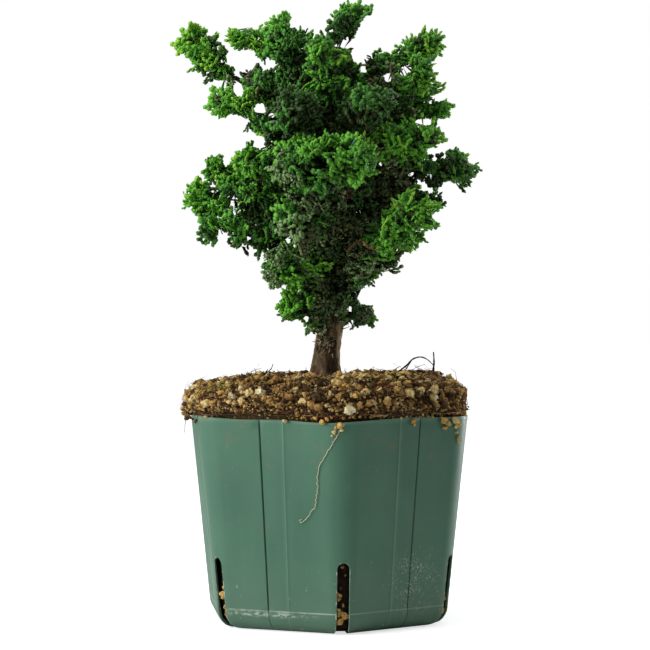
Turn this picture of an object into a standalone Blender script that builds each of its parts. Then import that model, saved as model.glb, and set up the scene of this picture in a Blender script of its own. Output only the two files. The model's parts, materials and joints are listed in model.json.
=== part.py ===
"""A dwarf cypress with tight fans of scale leaves, growing in a six-cornered slit pot.

Frame: the origin is the middle of the pot's flat underside, +Z is up and -Y is the front.
Lengths are in millimetres up to the point where a mesh is made.
"""

import math
import random

import bmesh
import bpy
from mathutils import Matrix, Vector

MM = 0.001
UP = Vector((0, 0, 1))
GAP = 0.35  # left between solids that touch on the real plant
GOLDEN = math.pi * (3 - math.sqrt(5))

# The pot: thin green plastic, six-sided with rounded corners, a slit up each corner.
POT_HEIGHT = 89.3
POT_TURN = math.radians(7)  # from the front to the nearest corner
RIM_APOTHEM = 57.4
RIM_CORNER = 14.0
FOOT_APOTHEM = 49.3
FOOT_CORNER = 11.0
ROLL = 8.0  # radius between wall and underside
WALL = 1.0
SLIT_WIDTH = 4.8
SLIT_TOP = 29.5
SLIT_INNER = 40.0  # how near to the axis a slit comes under the base
RIB_PLACE = 0.43  # along a face, counted from its front corner
RIB_HEIGHT = 0.2
GROOVE_PLACE = 0.59
GROOVE_DEPTH = 0.4
MARK_HALF_WIDTH = 0.5  # of a rib or a groove
SIXTH = math.radians(60)
HALF_SIXTH = math.radians(30)

# The soil: it fills the pot and stands proud of the rim as a flat cake.
SOIL_SIDES = 40
SOIL_TOP = 104.7
SOIL_OVERHANG = 1.2
SOIL_LEFT_OVERHANG = 2.6  # more on the left, where it slumps over the rim
SOIL_LUMP = 1.3  # how far its clods stand up or sink in
SOIL_SLOPE = 0.028  # the top rises to the right
COLLAR = 12.0  # flat ring of soil round the trunk

# The trunk: (height, x, y, radius) where it bends or tapers.
TRUNK_FOOT = 105.1
TRUNK = (
    (TRUNK_FOOT, -0.4, 0.0, 7.0),
    (107.8, -0.5, 0.0, 6.4),
    (113.3, 0.0, 0.0, 6.0),
    (122.8, 1.2, 0.3, 5.7),
    (138.3, 4.3, 0.8, 5.2),
    (160.3, 6.5, 0.4, 4.4),
    (186.3, 8.7, -0.6, 3.5),
    (211.3, 8.3, 0.0, 2.6),
    (227.3, 6.5, 0.4, 2.0),
)
TRUNK_SIDES = 12
FLUTES = 5  # swellings where the roots leave
FLUTE_DEPTH = 0.16
FLUTE_FADE = 9.0  # height over which they die away

# Boughs: (height on the trunk, base radius). Each carries the masses that name it.
BOUGHS = {
    "top_left": (217.3, 1.9),
    "crest": (222.3, 1.6),
    "right_horn": (218.3, 1.9),
    "right_upper": (204.3, 1.8),
    "left_upper": (202.3, 1.8),
    "left_mid": (185.3, 1.8),
    "left_low": (172.3, 2.3),
    "right_mid": (189.3, 1.8),
    "right_far": (180.3, 2.2),
    "right_low": (158.3, 1.9),
    "centre_front": (183.3, 2.0),
    "front_upper_right": (206.3, 1.6),
    "front_upper_left": (208.3, 1.6),
    "front_low": (163.3, 1.9),
    "back_upper_left": (207.3, 1.8),
    "back_upper_right": (205.3, 1.8),
    "back_centre": (191.3, 2.2),
    "back_low_left": (174.3, 2.0),
    "back_low_right": (171.3, 2.0),
    "back_low": (153.3, 2.0),
}
BOUGH_SIDES = 6
BOUGH_TAPER = 0.55
BOUGH_STEPS = 5

# Masses of foliage: (name, what carries it, inner centre, outer centre, inner radius, outer radius, tint).
# What carries it is a bough, or a height on the trunk. Each mass is an egg drawn out between its centres.
MASSES = (
    ("leader_crest", "tip", (1.6, 0, 239.5), (9.7, -3, 257.9), 9.4, 10.5, "lit"),
    ("crest_left", "crest", (-11.5, -4, 237), (-19.2, -7, 253), 11.4, 9.6, "lit"),
    ("left_horn", "crest", (-26, 7, 249), (-38, 7, 253.2), 5.6, 4.9, "young"),
    ("left_shoulder", 213.3, (-15.9, -4, 228), (-31, -2, 233), 9.6, 8.4, "shade"),
    ("top_left_arm", "top_left", (-45, 10, 238.8), (-57, 12, 250.6), 7.8, 10.0, "young"),
    ("right_shoulder", 211.3, (21.5, 5, 230.5), (23.8, 4, 240.6), 9.2, 7.8, "lit"),
    ("right_horn", "right_horn", (32, 0, 239.4), (42.4, -3, 249.2), 6.4, 8.6, "lit"),
    ("right_horn_under", "right_horn", (33.1, -8, 230.3), (40.1, -12, 237.3), 6.2, 6.7, "young"),
    ("right_upper_pad", "right_upper", (27, 2, 225), (44, 0, 229.6), 9.0, 7.6, "lit"),
    ("right_upper_low", "right_upper", (30, 5, 213.5), (48.8, 6, 221.6), 9.4, 8.2, "lit"),
    ("left_upper_pad", "left_upper", (-20, -7, 215.5), (-43.2, -8, 223.4), 11.4, 8.2, "young"),
    ("left_mid", "left_mid", (-18, -8, 196), (-32.9, -12, 198.8), 12.6, 10.2, "lit"),
    ("left_mid_tip", "left_mid", (-35, 5, 190.5), (-48.9, 4, 197.3), 7.6, 6.9, "young"),
    ("left_low", "left_low", (-25, -5, 181), (-51.9, -6, 182.2), 14.4, 11.6, "young"),
    ("left_low_under", "left_low", (-26, -12, 164.8), (-48.6, -17, 169.4), 11.0, 8.6, "lit"),
    ("right_mid", "right_mid", (24, -12, 203), (42, -17, 208.6), 12.0, 9.8, "young"),
    ("right_far", "right_far", (34, 7, 194.5), (57.3, 8, 196.6), 10.6, 11.2, "lit"),
    ("right_low_far", "right_far", (39.1, 13, 180.3), (46.3, 15, 180), 9.2, 7.8, "shade"),
    ("right_low", "right_low", (24, -20, 167.5), (36, -32, 173.4), 11.8, 11.6, "young"),
    ("bottom_right", 143.3, (16.8, -10, 151.5), (28.5, -13, 161.6), 11.0, 9.8, "shade"),
    ("bottom_left", 141.3, (-11.3, -12, 152), (-19.6, -16, 156), 11.8, 11.2, "shade"),
    ("skirt_left", 128.8, (-7.2, -12, 133.4), (-14.6, -14, 136.4), 8.4, 7.6, "lit"),
    ("skirt_right", 130.3, (11.5, 6, 131.8), (16.6, 6, 131.8), 6.3, 5.4, "shade"),
    ("skirt_back", 132.3, (3.1, 14, 143.5), (2.1, 20, 146.5), 9.0, 8.6, "shade"),
    ("centre_front", "centre_front", (-10.9, -34, 194.3), (11.1, -37, 196), 13.2, 12.6, "young"),
    ("front_upper_right", "front_upper_right", (9.5, -21, 213), (20.1, -34, 220.3), 11.8, 10.2, "lit"),
    ("front_upper_left", "front_upper_left", (-9, -21, 213), (-17.5, -32, 222), 11.8, 10.4, "lit"),
    ("front_top", 220.3, (4.3, -14, 229), (-1.9, -23, 240.3), 11.4, 10.4, "lit"),
    ("front_low", "front_low", (-1.5, -19, 175), (-12.5, -30, 171), 13.2, 12.4, "shade"),
    ("back_top", 221.3, (7.1, 13, 233), (2.1, 25, 245.3), 11.4, 11.8, "lit"),
    ("back_upper_left", "back_upper_left", (-10, 16, 217), (-23.9, 33, 224.3), 12.8, 12.8, "lit"),
    ("back_upper_right", "back_upper_right", (17, 16, 217), (29.1, 32, 224.3), 12.8, 12.8, "lit"),
    ("back_centre", "back_centre", (5.1, 25, 200.5), (2.1, 43, 206.3), 14.2, 13.8, "lit"),
    ("back_low_left", "back_low_left", (-14, 17, 180), (-30, 33, 188.3), 13.4, 13.4, "lit"),
    ("back_low_right", "back_low_right", (17.5, 18, 178.5), (32.1, 32, 187.3), 13.4, 13.6, "lit"),
    ("back_low", "back_low", (5.1, 16, 162), (1.5, 30, 168), 12.4, 13.2, "shade"),
)
SITE_SPACING = 0.8  # of a mass's radius, between the spheres that claim its space
CORE_SHARE = 0.74  # of the way out to a mass's surface
CORE_LEAST = 0.12
STEM_RADIUS = 0.8
STEM_SIDES = 4
FORK_OFFSET = 0.95  # between a bough tip's middle and each stem that leaves it
TWIG_RADIUS = 0.45
SPRAY_AREA = 268.0  # of a mass's surface, for each spray
SPRAY_ROOT = 0.5  # of the way out, where a spray is rooted
SPRAY_LENGTH = (4.8, 9.0)
SPRAY_WIDTH = 0.6  # half of it, as a share of the length
SPRAY_THICKNESS = 0.14
CELL_MARGIN = 0.22

COLOURS = {
    "pot": ((0.085, 0.2, 0.13), 0.45),
    "soil": ((0.2, 0.12, 0.055), 0.95),
    "bark": ((0.12, 0.07, 0.04), 0.9),
    "young": ((0.12, 0.36, 0.02), 0.55),
    "lit": ((0.05, 0.2, 0.015), 0.6),
    "shade": ((0.03, 0.09, 0.02), 0.7),
}


def material(name, finish):
    colour, roughness = COLOURS[finish]
    made = bpy.data.materials.new(name)
    made.use_nodes = True
    shader = made.node_tree.nodes["Principled BSDF"]
    shader.inputs["Base Color"].default_value = (*colour, 1)
    shader.inputs["Roughness"].default_value = roughness
    shader.inputs["Metallic"].default_value = 0
    made.diffuse_color = (*colour, 1)
    return made


def mesh_object(name, points, faces, finish=None):
    """An object in metres from points in millimetres, with its normals facing out."""
    mesh = bpy.data.meshes.new(name)
    mesh.from_pydata([Vector(p) * MM for p in points], [], faces)
    shell = bmesh.new()
    shell.from_mesh(mesh)
    bmesh.ops.recalc_face_normals(shell, faces=shell.faces)
    shell.to_mesh(mesh)
    shell.free()
    made = bpy.data.objects.new(name, mesh)
    bpy.context.scene.collection.objects.link(made)
    if finish:
        mesh.materials.append(material(name, finish))
    return made


def skin_rings(rings):
    """Faces that join rings of equal length and close both ends, with their points as one list."""
    count = len(rings[0])
    points = [p for ring in rings for p in ring]
    faces = [tuple(reversed(range(count)))]
    for row in range(len(rings) - 1):
        for side in range(count):
            after = (side + 1) % count
            low, high = row * count, (row + 1) * count
            faces.append((low + side, low + after, high + after, high + side))
    faces.append(tuple(range(len(points) - count, len(points))))
    return points, faces


def around(angle):
    """The level direction at an angle from the front, turning towards +X."""
    return Vector((math.sin(angle), -math.cos(angle), 0))


def shade_smooth(obj, degrees):
    obj.data.shade_smooth()
    obj.data.set_sharp_from_angle(angle=math.radians(degrees))


def build_pot():
    arc_steps = 3

    def outline(apothem, corner, height, relief):
        """One level ring: six arcs, and on each face a thin rib and a groove beside it."""
        ring = []
        reach = (apothem - corner) / math.cos(HALF_SIXTH)
        half_face = apothem * math.tan(HALF_SIXTH)
        for k in range(6):
            turn = POT_TURN + k * SIXTH
            for step in range(arc_steps + 1):
                bend = turn - HALF_SIXTH + SIXTH * step / arc_steps
                ring.append(around(turn) * reach + around(bend) * corner + UP * height)
            normal = around(turn + HALF_SIXTH)
            along = UP.cross(normal)
            marks = [(RIB_PLACE, RIB_HEIGHT), (GROOVE_PLACE, -GROOVE_DEPTH)]
            if k % 2:
                marks = [(1 - place, depth) for place, depth in reversed(marks)]
            for place, depth in marks:
                middle = (2 * place - 1) * half_face
                for side in (-1, 0, 1):
                    out = apothem + (relief * depth if side == 0 else 0)
                    ring.append(normal * out + along * (middle + side * MARK_HALF_WIDTH) + UP * height)
        return ring

    def wall(height, inset, relief):
        share = (height - ROLL) / (POT_HEIGHT - ROLL)
        apothem = FOOT_APOTHEM + (RIM_APOTHEM - FOOT_APOTHEM) * share
        corner = FOOT_CORNER + (RIM_CORNER - FOOT_CORNER) * share
        return outline(apothem - inset, corner - inset, height, relief)

    def roll(degrees, inset):
        angle = math.radians(degrees)
        radius = ROLL - inset
        pull = ROLL - radius * math.sin(angle)
        return outline(FOOT_APOTHEM - pull, FOOT_CORNER - pull, ROLL - radius * math.cos(angle), 0)

    rings = [roll(0, 0), roll(30, 0), roll(60, 0), wall(ROLL, 0, 0), wall(ROLL + 2, 0, 1)]
    rings += [wall(POT_HEIGHT, 0, 1), wall(POT_HEIGHT, WALL, 0), wall(ROLL, WALL, 0)]
    rings += [roll(45, WALL), roll(0, WALL)]
    pot = mesh_object("pot", *skin_rings(rings), "pot")

    cutters = bpy.data.collections.new("slit_cutters")
    bpy.context.scene.collection.children.link(cutters)
    half = SLIT_WIDTH / 2
    profile = [(-half, -5.0), (half, -5.0)]
    profile += [
        (half * math.cos(math.radians(a)), SLIT_TOP - half + half * math.sin(math.radians(a)))
        for a in range(0, 181, 30)
    ]
    for k in range(6):
        out = around(POT_TURN + k * SIXTH)
        along = UP.cross(out)
        ends = [[out * far + along * s + UP * z for s, z in profile] for far in (SLIT_INNER, 80.0)]
        cutter = mesh_object(f"slit_cutter_{k}", *skin_rings(ends))
        bpy.context.scene.collection.objects.unlink(cutter)
        cutters.objects.link(cutter)
        cutter.hide_render = True
        cutter.display_type = "WIRE"
    cut = pot.modifiers.new("slits", "BOOLEAN")
    cut.operand_type = "COLLECTION"
    cut.collection = cutters
    cut.operation = "DIFFERENCE"
    cut.solver = "EXACT"
    shade_smooth(pot, 25)


def pot_radius(angle, apothem, corner):
    """How far the rounded hexagon reaches at an angle from the front."""
    off = abs((angle - POT_TURN + HALF_SIXTH) % SIXTH - HALF_SIXTH)
    if apothem * math.tan(HALF_SIXTH - off) <= (apothem - corner) * math.tan(HALF_SIXTH):
        return apothem / math.cos(HALF_SIXTH - off)
    reach = (apothem - corner) / math.cos(HALF_SIXTH)
    return reach * math.cos(off) + math.sqrt(corner**2 - (reach * math.sin(off)) ** 2)


def build_soil():
    rng = random.Random(11)
    angles = [2 * math.pi * k / SOIL_SIDES for k in range(SOIL_SIDES)]

    def inside(height, pull=0.0):
        """A ring inside the pot, clear of its wall."""
        share = max(0.0, (height - ROLL) / (POT_HEIGHT - ROLL))
        inset = WALL + GAP + pull
        apothem = FOOT_APOTHEM + (RIM_APOTHEM - FOOT_APOTHEM) * share - inset
        corner = FOOT_CORNER + (RIM_CORNER - FOOT_CORNER) * share - inset
        return [around(a) * pot_radius(a, apothem, corner) + UP * height for a in angles]

    def mound(height, inset, lump):
        """A ring of the cake above the rim, rougher and rounder than the pot."""
        ring = []
        for a in angles:
            left = max(0.0, -math.sin(a))
            out = pot_radius(a, RIM_APOTHEM, RIM_CORNER) * 0.6 + (RIM_APOTHEM + 1.5) * 0.4
            out += SOIL_OVERHANG + SOIL_LEFT_OVERHANG * left - inset + rng.uniform(-lump, lump)
            rise = SOIL_SLOPE * out * math.sin(a) * (height - POT_HEIGHT) / (SOIL_TOP - POT_HEIGHT)
            ring.append(around(a) * out + UP * (height + rise + rng.uniform(-lump, lump)))
        return ring

    root = Vector((TRUNK[0][1], TRUNK[0][2], 0))
    collar = [root + around(a) * COLLAR + UP * (TRUNK_FOOT - GAP) for a in angles]
    floor = WALL + GAP
    rings = [inside(floor, ROLL - floor), inside(floor + 2.4, 2.4), inside(ROLL), inside(POT_HEIGHT)]
    rings += [inside(POT_HEIGHT + GAP), mound(POT_HEIGHT + 1.4, 1.2, 0.3), mound(POT_HEIGHT + 4.5, 1.0, 0.8)]
    rings += [mound(POT_HEIGHT + 8.5, 2.2, SOIL_LUMP), mound(POT_HEIGHT + 12, 6.5, SOIL_LUMP)]
    rings += [mound(SOIL_TOP - 0.8, 14, SOIL_LUMP), mound(SOIL_TOP, 25, SOIL_LUMP), mound(SOIL_TOP, 37, 0.6)]
    rings.append(collar)
    shade_smooth(mesh_object("soil", *skin_rings(rings), "soil"), 50)


def smooth_between(stations, height):
    """The trunk's middle and radius at a height, on a smooth curve through its stations."""
    rows = list(stations)
    last = len(rows) - 1
    k = next((n for n in range(last) if height <= rows[n + 1][0]), last - 1)
    t = (height - rows[k][0]) / (rows[k + 1][0] - rows[k][0])
    before, after = rows[max(k - 1, 0)], rows[min(k + 2, last)]

    def value(column):
        a, b = rows[k][column], rows[k + 1][column]
        slope_a = (b - before[column]) / 2
        slope_b = (after[column] - a) / 2
        return (
            a * (2 * t**3 - 3 * t**2 + 1)
            + slope_a * (t**3 - 2 * t**2 + t)
            + b * (3 * t**2 - 2 * t**3)
            + slope_b * (t**3 - t**2)
        )

    return Vector((value(1), value(2), height)), value(3)


def build_trunk():
    heights = [TRUNK_FOOT, 106.8, 109.3, 113.3]
    top = TRUNK[-1][0]
    while heights[-1] < top - 12:
        heights.append(heights[-1] + 9.5)
    rings = []
    for height in [*heights, top]:
        middle, radius = smooth_between(TRUNK, height)
        flare = FLUTE_DEPTH * max(0.0, 1 - (height - TRUNK_FOOT) / FLUTE_FADE)
        ring = []
        for k in range(TRUNK_SIDES):
            a = 2 * math.pi * k / TRUNK_SIDES
            ring.append(middle + around(a) * radius * (1 + flare * math.cos(FLUTES * a)))
        rings.append(ring)
    shade_smooth(mesh_object("trunk", *skin_rings(rings), "bark"), 40)


def tube(path, radii, sides):
    """A closed tube along a path of points, each ring square to it."""
    side = None
    rings = []
    for k, point in enumerate(path):
        ahead = (path[min(k + 1, len(path) - 1)] - path[max(k - 1, 0)]).normalized()
        if side is None:
            side = ahead.orthogonal().normalized()
        side = (side - ahead * side.dot(ahead)).normalized()
        up = ahead.cross(side)
        turns = [2 * math.pi * n / sides for n in range(sides)]
        rings.append([point + (side * math.cos(a) + up * math.sin(a)) * radii[k] for a in turns])
    return skin_rings(rings)


class Mass:
    """One egg of foliage: its space, the limb that carries it, and its stem."""

    def __init__(self, order, row):
        self.name, self.carrier, inner, outer, self.inner_radius, self.outer_radius, self.tint = row
        self.order = order
        self.inner, self.outer = Vector(inner), Vector(outer)
        self.axis = (self.outer - self.inner).normalized()
        length = (self.outer - self.inner).length
        mean = (self.inner_radius + self.outer_radius) / 2
        steps = max(1, round(length / (SITE_SPACING * mean)))
        self.sites = [self.section(k / steps) for k in range(steps + 1)]
        self.area = 4 * math.pi * mean**2 + 2 * math.pi * mean * length

    def section(self, t):
        radius = self.inner_radius + (self.outer_radius - self.inner_radius) * t
        return self.inner.lerp(self.outer, t), radius

    def surface(self, direction, share):
        """The point that lies a share of the way out in a direction, and the middle it is seen from."""
        middle, radius = self.section((direction.dot(self.axis) + 1) / 2)
        return middle + direction * radius * share, middle, radius

    def reached(self, point):
        """True once a bough on its way in has come as far as a bough goes."""
        return (point - self.inner).length < self.inner_radius * 0.8

    def nearest_site(self, point):
        return min(self.sites, key=lambda site: (point - site[0]).length)


def power(point, site):
    return (point - site[0]).length_squared - site[1] ** 2


class Crown:
    """The whole plan: it knows which mass each bit of space belongs to, and where the limbs are."""

    def __init__(self):
        self.masses = [Mass(k, row) for k, row in enumerate(MASSES)]
        self.limbs = []  # (owner, point, radius), close together along each limb
        self.tips = {}

    def add_limb(self, owner, path, radii):
        for k in range(len(path) - 1):
            steps = max(1, round((path[k + 1] - path[k]).length))
            for n in range(steps + 1):
                t = n / steps
                self.limbs.append((owner, path[k].lerp(path[k + 1], t), radii[k] + (radii[k + 1] - radii[k]) * t))

    def holds(self, mass, site, points):
        """True if the points keep to the side of this mass's sphere, against every other mass."""
        for other in self.masses:
            if other is mass:
                continue
            for rival in other.sites:
                margin = 2 * CELL_MARGIN * (rival[0] - site[0]).length
                if any(power(p, site) + margin > power(p, rival) for p in points):
                    return False
        return True

    def clear(self, owner, points, margin):
        """True if the points stay off every limb that isn't the owner's."""
        for name, middle, radius in self.limbs:
            if name != owner and any((p - middle).length < radius + margin for p in points):
                return False
        return all(p.z > SOIL_TOP + 2 for p in points)

    def trunk_surface(self, height, towards, radius):
        """Where a limb starts beside the trunk, and the level direction it leaves in."""
        middle, thickness = smooth_between(TRUNK, height)
        out = Vector((towards.x - middle.x, towards.y - middle.y, 0)).normalized()
        rise = (towards.z - height) / (towards - middle).length
        out = (out + UP * 0.6 * rise).normalized()
        return middle + out * (thickness + GAP + abs(out.z) * radius) / math.hypot(out.x, out.y), out


def bend(start, heading, end, steps):
    """Points on a curve that leaves start along heading and comes to end."""
    control = start + heading * (end - start).length * 0.4
    path = []
    for k in range(steps + 1):
        t = k / steps
        path.append(start.lerp(control, t).lerp(control.lerp(end, t), t))
    return path


def build_boughs(crown):
    for name, (height, radius) in BOUGHS.items():
        carried = [m for m in crown.masses if m.carrier == name]
        goal = sum((m.inner for m in carried), Vector()) / len(carried)
        nearest = min(carried, key=lambda m: (m.inner - goal).length)
        start, heading = crown.trunk_surface(height, goal, radius)
        fine = bend(start, heading, goal, 60)
        stop = next((k for k, p in enumerate(fine) if any(m.reached(p) for m in carried)), 60)
        stop = round(stop * (0.85 if len(carried) > 1 else 1))
        path = [fine[round(stop * k / BOUGH_STEPS)] for k in range(BOUGH_STEPS + 1)]
        radii = [radius * (1 + (BOUGH_TAPER - 1) * k / (len(path) - 1)) for k in range(len(path))]
        shade_smooth(mesh_object(f"bough_{name}", *tube(path, radii, BOUGH_SIDES), "bark"), 40)
        crown.add_limb(f"bough_{name}", path, radii)
        crown.tips[name] = (path[-1], (path[-1] - path[-2]).normalized(), nearest)


def stem_path(crown, mass):
    """The stem from the bough's tip or the trunk, through the mass's two centres."""
    if isinstance(mass.carrier, float):
        start, heading = crown.trunk_surface(mass.carrier, mass.inner, STEM_RADIUS)
    elif mass.carrier == "tip":
        middle, _ = smooth_between(TRUNK, TRUNK[-1][0])
        start, heading = middle + UP * GAP, UP
    else:
        tip, heading, _ = crown.tips[mass.carrier]
        start = tip + heading * GAP
        sharing = [m for m in crown.masses if m.carrier == mass.carrier]
        if len(sharing) > 1:
            aside = mass.inner - sum((m.inner for m in sharing), Vector()) / len(sharing)
            aside -= heading * aside.dot(heading)
            start += aside.normalized() * FORK_OFFSET
    reach = mass.outer + mass.axis * mass.outer_radius * 0.3
    path = bend(start, heading, mass.inner, 4) + [mass.outer, reach]
    return path, [STEM_RADIUS * (1 - 0.6 * k / (len(path) - 1)) for k in range(len(path))]


def core_shell(crown, mass):
    """A rough egg inside the mass, drawn in wherever a limb or a neighbour comes near."""
    ball = bmesh.new()
    bmesh.ops.create_icosphere(ball, subdivisions=2, radius=1)
    directions = [v.co.normalized() for v in ball.verts]
    faces = [tuple(v.index for v in f.verts) for f in ball.faces]
    ball.free()
    rng = random.Random(500 + mass.order)
    shares = []
    for direction in directions:
        share = CORE_SHARE * rng.uniform(0.85, 1.1)
        while share > CORE_LEAST:
            point, _, _ = mass.surface(direction, share)
            if crown.holds(mass, mass.nearest_site(point), [point]) and crown.clear(mass.name, [point], GAP + 0.9):
                break
            share -= 0.04
        shares.append(max(share, CORE_LEAST))
    for owner, middle, radius in crown.limbs:
        if owner == mass.name:
            continue
        for k, direction in enumerate(directions):
            point, seen_from, size = mass.surface(direction, shares[k])
            off = middle - seen_from
            if off.length < (point - seen_from).length + radius + 1 and off.angle(direction, 0) < math.radians(36):
                shares[k] = max(CORE_LEAST, min(shares[k], (off.length - radius - 0.8) / size))
    return [mass.surface(d, s)[0] for d, s in zip(directions, shares, strict=True)], faces


def spray_shell(root, heading, roll, length):
    """A plump toothed blade that stands for one fan of scale leaves."""
    across = (Matrix.Rotation(roll, 3, heading) @ heading.orthogonal()).normalized()
    face = heading.cross(across)
    width = length * SPRAY_WIDTH
    teeth = [(0, 0), (0.62, 1), (0.72, 0.4), (1, 0.05), (0.74, -0.42), (0.66, -1)]
    points = [root + heading * u * length + across * v * width for u, v in teeth]
    thick = face * length * SPRAY_THICKNESS
    hub = root + heading * length * 0.5
    points += [hub + thick, hub - thick]
    faces = []
    for k in range(len(teeth)):
        after = (k + 1) % len(teeth)
        faces += [(k, after, len(teeth)), (after, k, len(teeth) + 1)]
    return points, faces


def spray_plan(crown, mass):
    """Where the sprays of a mass stand: (root, heading, roll, length), spread evenly and then jittered."""
    rng = random.Random(100 + mass.order)
    count = max(9, round(mass.area / SPRAY_AREA))
    lean = mass.axis.to_track_quat("Z", "Y")
    found = []
    for k in range(count):
        height = 1 - 2 * (k + 0.5) / count
        turn = k * GOLDEN + rng.uniform(-0.25, 0.25)
        ring = math.sqrt(1 - height**2)
        direction = lean @ Vector((ring * math.cos(turn), ring * math.sin(turn), height))
        root, middle, radius = mass.surface(direction, SPRAY_ROOT)
        heading = (direction + mass.axis * 0.35 + UP * 0.12).normalized()
        roll = rng.uniform(0, math.pi)
        reach = radius * (1.09 - SPRAY_ROOT) * rng.uniform(0.88, 1.08)
        length = min(max(reach, SPRAY_LENGTH[0]), SPRAY_LENGTH[1])
        for shrink in (1, 0.85, 0.7):
            points, faces = spray_shell(root, heading, roll, length * shrink)
            site = mass.nearest_site(root)
            between = [points[a].lerp(points[b], 0.5) for face in faces for a, b in zip(face, face[1:], strict=False)]
            between += [middle.lerp(root, t) for t in (0.4, 0.6, 0.8)]
            if crown.holds(mass, site, points) and crown.clear(mass.name, points + between, GAP + 0.35):
                found.append((direction, root, heading, roll, length * shrink))
                break
    return found


def fuse(name, shells, tint):
    """One Boolean union of shells that overlap. What comes away from it, or is sealed inside, is dropped."""
    base = mesh_object(name, *shells[0], tint)
    others = bpy.data.collections.new(f"{name}_shells")
    for k, shell in enumerate(shells[1:]):
        part = mesh_object(f"{name}_shell_{k}", *shell)
        bpy.context.scene.collection.objects.unlink(part)
        others.objects.link(part)
    join = base.modifiers.new("join", "BOOLEAN")
    join.operand_type = "COLLECTION"
    join.collection = others
    join.operation = "UNION"
    for solver, weld in (("EXACT", 0.0015), ("EXACT", 0), ("MANIFOLD", 0.0015), ("MANIFOLD", 0)):
        join.solver = solver
        graph = bpy.context.evaluated_depsgraph_get()
        graph.update()
        joined = bpy.data.meshes.new_from_object(base.evaluated_get(graph))
        whole = bmesh.new()
        whole.from_mesh(joined)
        bmesh.ops.remove_doubles(whole, verts=whole.verts, dist=weld * MM)
        bmesh.ops.triangulate(whole, faces=whole.faces)
        keep_largest(whole)
        closed = all(e.is_manifold for e in whole.edges)
        whole.to_mesh(joined)
        whole.free()
        if closed:
            break
    base.modifiers.clear()
    base.data = joined
    for part in list(others.objects):
        bpy.data.objects.remove(part)
    bpy.data.collections.remove(others)
    return base


def keep_largest(whole):
    """Leaves only the linked body with the most faces."""
    left = set(whole.faces)
    bodies = []
    while left:
        body, edge = set(), [left.pop()]
        while edge:
            face = edge.pop()
            body.add(face)
            near = {f for e in face.edges for f in e.link_faces if f in left}
            left -= near
            edge.extend(near)
        bodies.append(body)
    bodies.sort(key=len)
    for body in bodies[:-1]:
        bmesh.ops.delete(whole, geom=list(body), context="FACES")


def build_masses(crown):
    stems = {}
    for mass in crown.masses:
        path, radii = stem_path(crown, mass)
        stems[mass.name] = (path, radii)
        crown.add_limb(mass.name, path, radii)
    for mass in crown.masses:
        shells = [core_shell(crown, mass), tube(*stems[mass.name], STEM_SIDES)]
        for direction, root, heading, roll, length in spray_plan(crown, mass):
            fork = mass.surface(direction, 0)[0]
            shells.append(tube([fork, root + heading * 1.5], [TWIG_RADIUS, TWIG_RADIUS * 0.7], 3))
            shells.append(spray_shell(root, heading, roll, length))
        fuse(mass.name, shells, mass.tint)


for old in list(bpy.data.objects):
    bpy.data.objects.remove(old)
build_pot()
build_soil()
build_trunk()
plan = Crown()
plan.add_limb("trunk", *zip(*(smooth_between(TRUNK, TRUNK_FOOT + k) for k in range(0, 123)), strict=True))
build_boughs(plan)
build_masses(plan)
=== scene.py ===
"""A dwarf cypress in a slit pot, dressed over its solids and set on a pale floor.

Lengths are in millimetres up to the point where a mesh, a lamp or the camera is made.
"""

import json
import math
import random

import bmesh
import bpy
import numpy as np
from mathutils import Matrix, Vector, noise

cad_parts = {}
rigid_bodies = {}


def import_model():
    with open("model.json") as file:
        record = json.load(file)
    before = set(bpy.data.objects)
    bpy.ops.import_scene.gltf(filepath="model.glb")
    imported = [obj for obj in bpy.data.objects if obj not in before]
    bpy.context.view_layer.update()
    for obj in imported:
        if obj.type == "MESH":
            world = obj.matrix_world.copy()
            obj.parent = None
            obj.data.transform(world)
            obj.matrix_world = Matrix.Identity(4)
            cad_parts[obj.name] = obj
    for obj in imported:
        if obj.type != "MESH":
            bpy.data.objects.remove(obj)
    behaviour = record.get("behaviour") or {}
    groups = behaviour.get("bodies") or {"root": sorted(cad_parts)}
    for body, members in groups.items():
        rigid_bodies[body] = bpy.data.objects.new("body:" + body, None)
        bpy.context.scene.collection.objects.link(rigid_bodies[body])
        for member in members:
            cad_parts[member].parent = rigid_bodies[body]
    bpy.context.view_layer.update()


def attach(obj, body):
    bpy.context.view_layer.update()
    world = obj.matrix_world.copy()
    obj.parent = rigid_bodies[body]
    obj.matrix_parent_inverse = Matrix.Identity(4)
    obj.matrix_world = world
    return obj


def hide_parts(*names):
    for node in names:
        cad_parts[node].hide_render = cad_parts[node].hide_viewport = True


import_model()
MM = 0.001
UP = Vector((0, 0, 1))

# The picture is taken level, from just above the soil, with a long lens nearly a metre away.
# The pot stands with its front corner a little to the right of the middle.
CAMERA_PLACE = (-0.64, -950.0, 127.6)
SENSOR = 36.0
FOCAL_PIXELS = 2185.0
IMAGE_PIXELS = 650

lens = bpy.data.cameras.new("camera")
lens.sensor_width = SENSOR
lens.lens = FOCAL_PIXELS / IMAGE_PIXELS * SENSOR
camera = bpy.data.objects.new("camera", lens)
camera.location = Vector(CAMERA_PLACE) * MM
camera.rotation_euler = (math.radians(90), 0, 0)
bpy.context.scene.collection.objects.link(camera)
bpy.context.scene.camera = camera

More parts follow.
